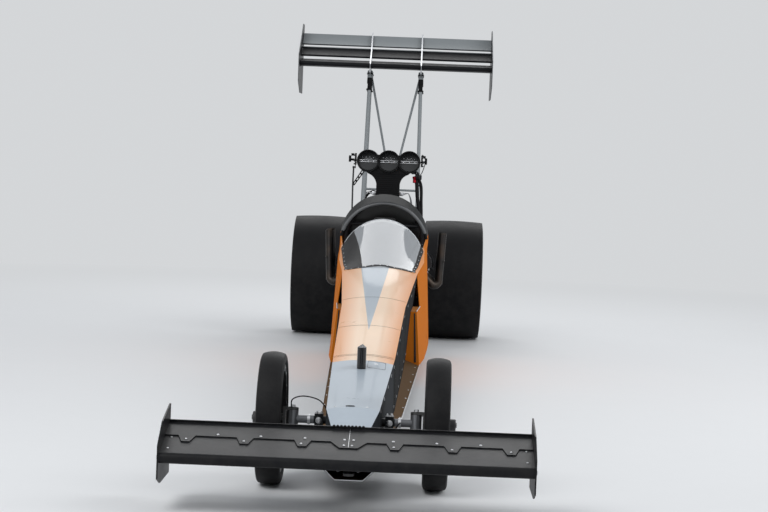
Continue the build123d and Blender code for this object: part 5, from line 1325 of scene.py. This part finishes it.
def buildHat(setup):
    y0, z0 = setup["shaft"]
    bars, nozzles, linkage, dark, blocks, lines = newPieces(
        hatBars="alloy", hatNozzles="boltSteel", throttleLinkage="blackBolt", hatBrackets="flatBlack",
        nozzleBlocks="alloy", nozzleLines="braid",
    )
    nozzle = [(0, 0.0048), (0.014, 0.0048), (0.017, 0.003), (0.022, 0.0024)]
    nut = [(0, 0.0075), (0.01, 0.0075), (0.012, 0.005), (0.022, 0.005)]
    for x in setup["inlets"]:
        for up, reach in ((0.0045, 0.066), (-0.0075, 0.065)):
            addBlock(bars, (x, y0 - 0.0085, z0 + up), (2 * reach, 0.003, 0.0042), 0.0008)
        for dx, dz in ((-0.04, 0.024), (-0.015, 0.028), (0.012, 0.027), (0.038, 0.022)):
            addTurned(nozzles, (x + dx, y0 + 0.016, z0 + dz), (0, -1, 0), nozzle, 10)
        addTurned(nozzles, (x - 0.026, y0 + 0.002, z0 + 0.0165), (1, 0, 0), [(0, 0.0022), (0.052, 0.0022)], 8)
        for dx in (-0.04, 0, 0.04):
            addBolt(nozzles, (x + dx, y0 - 0.006, z0 - 0.0015), (0, -1, 0.28), 0.0026, 0.003)
        for dx, dz in circleSpots(12, 1.0):
            # rivets round each inlet, apart from where it meets the next
            if abs(dx) > 0.75 if x == 0 else dx * x < -0.08:
                continue
            direction = Vector((dx, 0, dz))
            addButton(nozzles, Vector((x, y0 - 0.036, z0)) + direction * 0.0798, direction, 0.0032, 0.0016)
    for side in sides:
        reach = 0.02 if side < 0 else 0.008
        addTurned(linkage, (side * 0.2405, y0, z0), (side, 0, 0), [(0, 0.011), (0.006, 0.011), (0.009, 0.007)], 6)
        addBolt(linkage, (side * 0.2405, y0 + 0.0265, z0 + side * 0.05), (side, 0, 0), 0.0045, 0.006)
        for x, dy, dz, size, chamfer in (
            (0.2365, -0.006, 0.024, (0.013, 0.02, 0.054), 0.002),
            (0.2365, 0.02, -0.02, (0.013, 0.03, 0.024), 0.002),
            (0.253 + reach / 2, 0.01, 0.004, (reach + 0.014, 0.014, 0.016), 0.002),
            (0.2575 + reach, 0.01, 0.01, (0.017, 0.022, 0.046), 0.003),
            (0.248 + reach / 2, 0.006, 0.04, (0.022, 0.016, 0.018), 0.002),
        ):
            addBlock(dark, (side * x, y0 + dy, z0 + dz), size, chamfer)
        profile = [(0, 0.006), (0.018, 0.006), (0.02, 0.004)]
        addTurned(linkage, (side * 0.23, y0 - 0.012, z0 + 0.036), (side, 0, 0), profile, 12)
        addTurned(linkage, (side * 0.23, y0 - 0.004, z0 - 0.026), (side, 0, 0), [(0, 0.005), (0.02, 0.005)], 12)
        # nozzle blocks under the hat, and the lines from their nuts
        addBlock(blocks, (side * 0.098, y0 + 0.11, 1.13), (0.03, 0.075, 0.026), 0.003)
        for i in range(3):
            y = y0 + 0.085 + i * 0.025
            addTurned(blocks, (side * 0.11, y, 1.13), (side, 0, 0.25), nut, 6)
            points = [(0.13, y, 1.135), (0.152, y + 0.004, 1.131), (0.168 + 0.004 * i, y0 + 0.1 + i * 0.05, 1.06),
                      (0.178 + 0.003 * i, y0 + 0.11 + i * 0.09, 0.9), (0.176, y0 + 0.1 + i * 0.11, 0.76)]
            addTube(lines, smoothPath(flip(side, points), 6), 0.0032, 8)
    # long rod down the right side, and the drilled strut below that end of the hat
    rod = [(-0.25, y0 + 0.0265, z0 - 0.05), (-0.252, y0 + 0.028, 1.2), (-0.25, y0 + 0.04, 0.96)]
    addTube(linkage, rod, 0.006, 10)
    for end in (rod[0], rod[-1]):
        addTurned(linkage, Vector(end) - Vector((0.008, 0, 0)), (1, 0, 0), [(0, 0.0085), (0.014, 0.0085)], 14)
    addBlock(linkage, (-0.236, y0 + 0.045, 0.955), (0.036, 0.06, 0.008), 0.002)
    foot, tip = Vector((-0.178, y0 + 0.02, 1.292)), Vector((-0.245, y0 + 0.03, 1.19))
    along = (tip - foot).normalized()
    wide = Vector((along.z, 0, -along.x))
    for shift in (-0.0085, 0.0085):
        addStrap(dark, [foot + wide * shift, tip + wide * shift * 0.7], wide, 0.0075, 0.008)
    for middle in [foot + (tip - foot) * i / 4 for i in range(5)]:
        addStrap(dark, [middle - wide * 0.009, middle + wide * 0.009], along, 0.013, 0.008)
    cable = ((0.244, 0.03, 0.052), (0.262, 0.045, 0.01), (0.245, 0.07, -0.06), (0.226, 0.06, -0.095))
    addTube(dark, smoothPath([(x, y0 + dy, z0 + dz) for x, dy, dz in cable], 6), 0.003, 8)


def buildBlowerStraps(setup):
    straps, frames = newPieces(blowerStraps="webbing", strapBuckles="boltSteel")
    for y in setup["straps"]:
        half = [(x, y, z) for x, z in setup["strapPath"]]
        addStrap(straps, flip(-1, half) + half[::-1], (0, 1, 0), 0.042, 0.003)
        for side in sides:
            addBlock(frames, (side * 0.1668, y, 0.872), (0.006, 0.052, 0.034), 0.002)
            addBlock(frames, (side * 0.15, y, 0.774), (0.014, 0.05, 0.01), 0.002)


def buildExhaust():
    rings = newPiece("exhaustRings", "header")
    joint = [(0, 0.0276), (-0.0005, 0.0296), (0.0035, 0.0296), (0.003, 0.0276)]
    for side in sides:
        axis = Vector((side * 0.02, 0.0525, 0.37)).normalized()
        for y in [portY(i) for i in range(4)]:
            addHoop(rings, Vector((side * 0.408, y + 0.07, 0.85)) - axis * 0.006, axis, 0.0265, 0.029, 0.0058, 32)
            addCollar(rings, (side * 0.39, y + 0.0225, 0.5), axis, joint, 32)
        # stay that ties the four pipes together
        stops = [portY(i) + 0.045 for i in range(4)]
        path = [(side * 0.4245, y, 0.66) for y in (stops[0] - 0.035, *stops, stops[-1] + 0.035)]
        addTube(rings, path, 0.0042, 8)


buildEngineBolts(engine)
buildPlugWires(engine)
buildFuelLines(engine)
buildHat(engine)
buildBlowerStraps(engine)
buildExhaust()
closePieces("engine detailed")


# wheels and running gear
wheels = {
    "rear": {"faceX": 0.713, "boltRing": 0.2035, "disc": 0.497, "studRing": 0.068, "tyreRings": (0.262, 0.335),
             "rib": ((-0.002, -0.0035), (0.0014, -0.0015), (0.0014, 0.0015), (-0.002, 0.0035)),
             "bead": [(0, 0.1925), (0.005, 0.1925), (0.0062, 0.1945), (0.0062, 0.2125), (0.005, 0.2145),
                      (0, 0.2145)]},
    "front": {"x": 0.35, "face": 0.047, "screwRing": 0.215, "hubFace": 0.042,
              "cap": [(0, 0.0345), (0.0035, 0.0345), (0.005, 0.033), (0.005, 0.024), (0.0095, 0.021),
                      (0.0105, 0.009)],
              "drum": [(0, 0.0205), (0.004, 0.026), (0.026, 0.026), (0.03, 0.0225), (0.03, 0.012), (0.034, 0.01)]},
    "kingpin": {"x": 0.262, "reach": 0.0475, "caster": 15.0},
    "wheelie": {"place": (0.189, 4.869, 0.112), "half": 0.02},
}


def tyreSide(radius):
    # outermost x of the rear tyre's wall near this radius, read from its mesh
    best = 0.0
    for vert in nodes["rear_tyres"].data.vertices:
        spot = nodes["rear_tyres"].matrix_world @ vert.co
        if abs(math.hypot(spot.y - rearAxle.y, spot.z - rearAxle.z) - radius) < 0.03:
            best = max(best, abs(spot.x))
    return min(best, 0.756) - 0.0005


def addRound(add, bm, x, middle, out, count, ring, radius, height, phase=0.5):
    # bolts or buttons round an axle that goes through the middle
    for dy, dz in circleSpots(count, ring, phase):
        add(bm, (x, middle.y + dy, middle.z + dz), (out, 0, 0), radius, height)


def buildRearWheels(setup):
    rings, bolts, studs, marks = newPieces(
        "rear_axle", beadRings="alloy", beadBolts="boltSteel", wheelStuds="boltSteel", tyreRibs="tyre"
    )
    y, z = rearAxle.yz
    valve = [(0, 0.0055), (0.026, 0.0055), (0.028, 0.0042), (0.038, 0.0042)]
    for side in sides:
        face, disc = side * setup["faceX"], side * setup["disc"]
        addCollar(rings, (face - side * 0.002, y, z), (side, 0, 0), setup["bead"], 72)
        addRound(addBolt, bolts, face + side * 0.004, rearAxle, side, 24, setup["boltRing"], 0.0052, 0.005)
        addRound(addBolt, studs, disc, rearAxle, side, 5, setup["studRing"], 0.0095, 0.013, 0.0)
        addRound(addButton, bolts, disc - side * 0.0005, rearAxle, side, 20, 0.17, 0.0045, 0.002, 0.25)
        addTurned(studs, (side * 0.5, y + 0.012, z + 0.178), (side, 0, 0.15), valve, 12)
        addTurned(studs, (side * 0.5265, y, z), (side, 0, 0), [(0, 0.03), (0.004, 0.03), (0.006, 0.022)], 6)
        for radius in setup["tyreRings"]:
            rib = [(up, radius + wide) for up, wide in setup["rib"]]
            addCollar(marks, (side * tyreSide(radius), y, z), (side, 0, 0), rib, 96)


def buildFrontWheels(setup, pin):
    y, z = frontAxle.yz
    caster = math.radians(pin["caster"])
    axis = Vector((0, math.sin(caster), math.cos(caster)))
    valve = [(0, 0.0045), (0.02, 0.0045), (0.022, 0.0034), (0.032, 0.0034)]
    for side, label in ((1, "left"), (-1, "right")):
        wheel = "front_wheel_" + label
        bright, dark = newPiece("hubCap_" + label, "alloy", wheel), newPiece("rimScrews_" + label, "boltSteel", wheel)
        hub = side * (setup["x"] + setup["hubFace"])
        for out in (1, -1):
            x = side * (setup["x"] + out * (setup["face"] - 0.0004))
            addRound(addButton, dark, x, frontAxle, side * out, 16, setup["screwRing"], 0.0042, 0.0018)
        addTurned(bright, (hub - side * 0.0005, y, z), (side, 0, 0), setup["cap"], 40)
        addRound(addBolt, dark, hub + side * 0.0045, frontAxle, side, 6, 0.0285, 0.003, 0.0035, 0.0)
        addTurned(dark, (side * (setup["x"] + 0.004), y + 0.006, z + 0.19), (side, 0, -0.1), valve, 10)
        drum = newPiece("hubDrum_" + label, "blackBolt", wheel)
        addTurned(drum, (hub + side * 0.009, y, z), (side, 0, 0), setup["drum"], 32)
        nuts = newPiece("kingpinNuts_" + label, "boltSteel", "knuckle_" + label)
        for way in sides:
            place = Vector((side * pin["x"], y, z)) + axis * way * pin["reach"]
            addBolt(nuts, place, axis * way, 0.0105, 0.01)


def buildAxleTrim():
    bright, dark = newPieces(axleBolts="boltSteel", sensorWires="wire")
    for side in sides:
        for shift in (-0.01, 0.01):
            for dy in (-0.0195, 0.0195):
                place = frontAxle + Vector((0, dy, 0.028))
                addBolt(bright, (side * 0.15 + shift, *place.yz), (0, 0, 1), 0.0042, 0.006)
        addBolt(bright, (side * 0.15, frontAxle.y - 0.026, frontAxle.z), (0, -1, 0), 0.0085, 0.007, 1.6)
        addHoop(bright, (side * 0.187, *frontAxle.yz), (side, 0, 0), 0.0172, 0.0212, 0.012, 28)
    for steps, radius, points in (
        (7, 0.0028, ((-0.268, -0.03, 0.052), (-0.262, -0.046, 0.088), (-0.215, -0.052, 0.104),
                     (-0.15, -0.04, 0.088), (-0.118, 0.04, 0.038), (-0.112, 0.12, 0.01))),
        (6, 0.003, ((0.196, -0.021, 0.004), (0.16, -0.04, -0.036), (0.12, -0.02, -0.07))),
    ):
        path = [(x, frontAxle.y + dy, frontAxle.z + dz) for x, dy, dz in points]
        addTube(dark, smoothPath(path, steps), radius, 8)


def buildRearEnd():
    bolts, calipers, lines, fittings, filler = newPieces(
        housingBolts="boltSteel", caliperBolts="boltSteel", brakeLines="braid", brakeFittings="blueAlloy",
        fillerCap="blueAlloy",
    )
    y, z = rearAxle.yz
    line = ((0.243, 0.128, 0.064), (0.238, 0.118, 0.105), (0.224, 0.06, 0.112), (0.222, -0.06, 0.108),
            (0.236, -0.2, 0.1))
    nut = [(-0.006, 0.0075), (0.008, 0.0075), (0.01, 0.0055), (0.022, 0.005)]
    cap = [(-0.01, 0.022), (0.008, 0.022), (0.01, 0.027), (0.02, 0.027), (0.022, 0.024)]
    for side in sides:
        addRound(addBolt, bolts, side * 0.0825, rearAxle, side, 12, 0.137, 0.0062, 0.008)
        for dz in (-0.044, -0.015, 0.015, 0.044):
            addBolt(calipers, (side * 0.276, y + 0.126, z + dz), (side, 0, 0), 0.0055, 0.006)
        for dz in (-0.026, 0.026):
            place = (side * 0.2755, y + 0.13, z + dz)
            addTurned(calipers, place, (side, 0, 0), [(0, 0.017), (0.0035, 0.017), (0.005, 0.014)], 24)
        path = [(side * x, y + dy, z + dz) for x, dy, dz in line]
        addTube(lines, smoothPath(path, 7), 0.0042, 10)
        addTurned(fittings, path[0], (0, -0.1, 1), nut, 6)
        addRound(addBolt, bolts, side * 0.2362, rearAxle, side, 8, 0.04324, 0.004, 0.004, 0.0)
    for dx, dz in circleSpots(16, 0.188):
        addBolt(bolts, (dx, 2.945, 0.4 + dz), (0, 1, 0), 0.0052, 0.007)
    addTurned(filler, (0.0, y + 0.04, z + 0.15), (0, 0.25, 1), cap, 24)


# rear wing: edge strips, rivets, strut ends and adjusters
rearTrim = {
    "rib": [(3.625, 2.046), (3.6235, 2.111), (3.8545, 2.2165), (4.0695, 2.3795)],
    "plate": [(3.795, 1.872), (3.555, 1.96), (3.535, 2.17), (3.825, 2.33), (3.975, 2.424)],
    "rivets": (
        (3.64, 2.075), (3.74, 2.095), (3.86, 2.12), (3.865, 2.19), (3.945, 2.23), (4.0, 2.28), (4.055, 2.335),
    ),
    "feet": (0.218, (3.225, 3.825), 0.54), "tops": (0.2, (3.725, 3.935), 2.06),
    "buckle": ((0.162, 0.0155, 0.145), (0.16, 0.0235, 0.012), (0.104, 0.0205, 0.046), (0.03, 0.024, 0.012)),
}


def buildRearTrim(setup):
    edges, rims, rivets, sleeves, ends = newPieces(
        wingEdgeStrips="machined", wingPlateEdges="castHousing", wingRivets="boltSteel", strutNuts="flatBlack",
        strutForks="standGrey",
    )
    footX, footY, footZ = setup["feet"]
    topX, topY, topZ = setup["tops"]
    for side in sides:
        addStrap(edges, [(side * 0.2, y - 0.0008, z + 0.0006) for y, z in setup["rib"]], (1, 0, 0), 0.0105, 0.0022)
        addStrap(rims, [(side * 0.7553, y, z) for y, z in setup["plate"]], (1, 0, 0), 0.006, 0.0022)
        for y, z in setup["rivets"]:
            for x, out, drop in ((0.203, side, 0), (0.197, -side, 0), (0.7523, -side, 0.01)):
                addButton(rivets, (side * x, y, z - drop), (out, 0, 0), 0.0055, 0.002)
        for low, high in zip(footY, topY):
            foot, top = Vector((side * footX, low, footZ)), Vector((side * topX, high, topZ))
            along = (top - foot).normalized()
            addBlock(ends, foot + along * 0.036, (0.01, 0.032, 0.052), 0.002, turnTo(along))
            for place in (foot + along * 0.022, top - along * 0.02):
                for out, height in ((side, 0.008), (-side, 0.006)):
                    addBolt(rivets, place + Vector((out * 0.0145, 0, 0)), (out, 0, 0), 0.0075, height)
            for share in (0.045, 0.3):
                profile = [(0, 0.0172), (0.014, 0.0172), (0.015, 0.015)]
                addTurned(sleeves, foot + (top - foot) * share, along, profile, 6)
            for back, radius, length in setup["buckle"]:
                profile = [(0, radius * 0.9), (0.002, radius), (length - 0.002, radius), (length, radius * 0.9)]
                addTurned(sleeves, top - along * back, along, profile, 18)


def buildWheelie(setup):
    caps, bolts = newPieces("wheelie_wheels", wheelieCaps="alloy", wheelieBolts="boltSteel")
    middle = Vector(setup["place"])
    profile = [(0, 0.03), (0.002, 0.03), (0.003, 0.0195), (0.0045, 0.018)]
    for x in (-middle.x, middle.x):
        for face in sides:
            addTurned(caps, (x + face * (setup["half"] - 0.0005), *middle.yz), (face, 0, 0), profile, 24)
            addRound(addBolt, bolts, x + face * (setup["half"] + 0.0012), middle, face, 5, 0.0245, 0.0028, 0.0025, 0.0)


buildRearWheels(wheels["rear"])
buildFrontWheels(wheels["front"], wheels["kingpin"])
buildAxleTrim()
buildRearEnd()
buildRearTrim(rearTrim)
buildWheelie(wheels["wheelie"])
closePieces("wheels and rear end detailed")


# floor and light
stage = {
    "half": 90.0, "floor": (0.8, 0.81, 0.82), "back": (0.66, 0.675, 0.69), "fade": (4.6, 12.0),
    "sky": (0.93, 0.96, 1.0), "skyLight": 0.5,
    "lamps": (  # name, place, aim, size, power
        ("keyLamp", (-5.0, -9.0, 8.0), (0, -1.0, 0.4), (6.0, 6.0), 480),
        ("fillLamp", (7.0, -2.0, 6.0), (0, 0.5, 0.5), (6.0, 6.0), 260),
        ("rearLamp", (0.0, 9.0, 7.0), (0, 2.0, 1.0), (7.0, 5.0), 270),
    ),
}


def mixShaders(share, a, b):
    node = addNode("MixShader")
    for socket, value in zip(node.inputs, (share, a, b)):
        feed(socket, value)
    return node.outputs[0]


def seenRay():
    # one for rays from the camera, from glossy surfaces and through clear ones
    path = addNode("LightPath").outputs
    return larger(path["Is Camera Ray"], larger(path["Is Glossy Ray"], path["Is Transmission Ray"]))


def paleFloor(setup):
    # diffuse near the car, and fading to the background's colour far from it
    material, shader = newMaterial("paleFloor", Specular_IOR_Level=0.1)
    colour, rough = mottled(setup["floor"], 1.2, 0.02, 0.9, 0.02)
    feedAll(shader, Base_Color=colour, Roughness=rough)
    far = addNode("VectorMath", operation="LENGTH")
    feed(far.inputs[0], objectPlace())
    share = times(spread(far.outputs["Value"], *setup["fade"]), seenRay())
    glow = addNode("Emission", Color=setup["back"], Strength=1.0)
    feedAll(work["tree"].nodes["Material Output"], Surface=mixShaders(share, shader.outputs[0], glow.outputs[0]))
    half = setup["half"]
    mesh = bpy.data.meshes.new("floor")
    mesh.from_pydata([(-half, -half, 0), (half, -half, 0), (half, half, 0), (-half, half, 0)], [], [(0, 1, 2, 3)])
    mesh.materials.append(material)
    showObject("floor", mesh)


def paleWorld(setup):
    world = bpy.data.worlds.new("paleSky")
    bpy.context.scene.world = world
    world.use_nodes = True
    work["tree"] = world.node_tree
    work["tree"].nodes.clear()
    light = addNode("Background", Color=setup["sky"], Strength=setup["skyLight"])
    seen = addNode("Background", Color=setup["back"], Strength=1.0)
    addNode("OutputWorld", Surface=mixShaders(seenRay(), light.outputs[0], seen.outputs[0]))


def softLamp(name, place, aim, size, power):
    data = bpy.data.lights.new(name, "AREA")
    data.shape = "RECTANGLE"
    data.size, data.size_y = size
    data.energy = power
    lamp = showObject(name, data)
    lamp.location = place
    lamp.rotation_euler = (Vector(aim) - Vector(place)).to_track_quat("-Z", "Y").to_euler()


paleFloor(stage)
paleWorld(stage)
for lampRow in stage["lamps"]:
    softLamp(*lampRow)
print("stage: floor and light set")
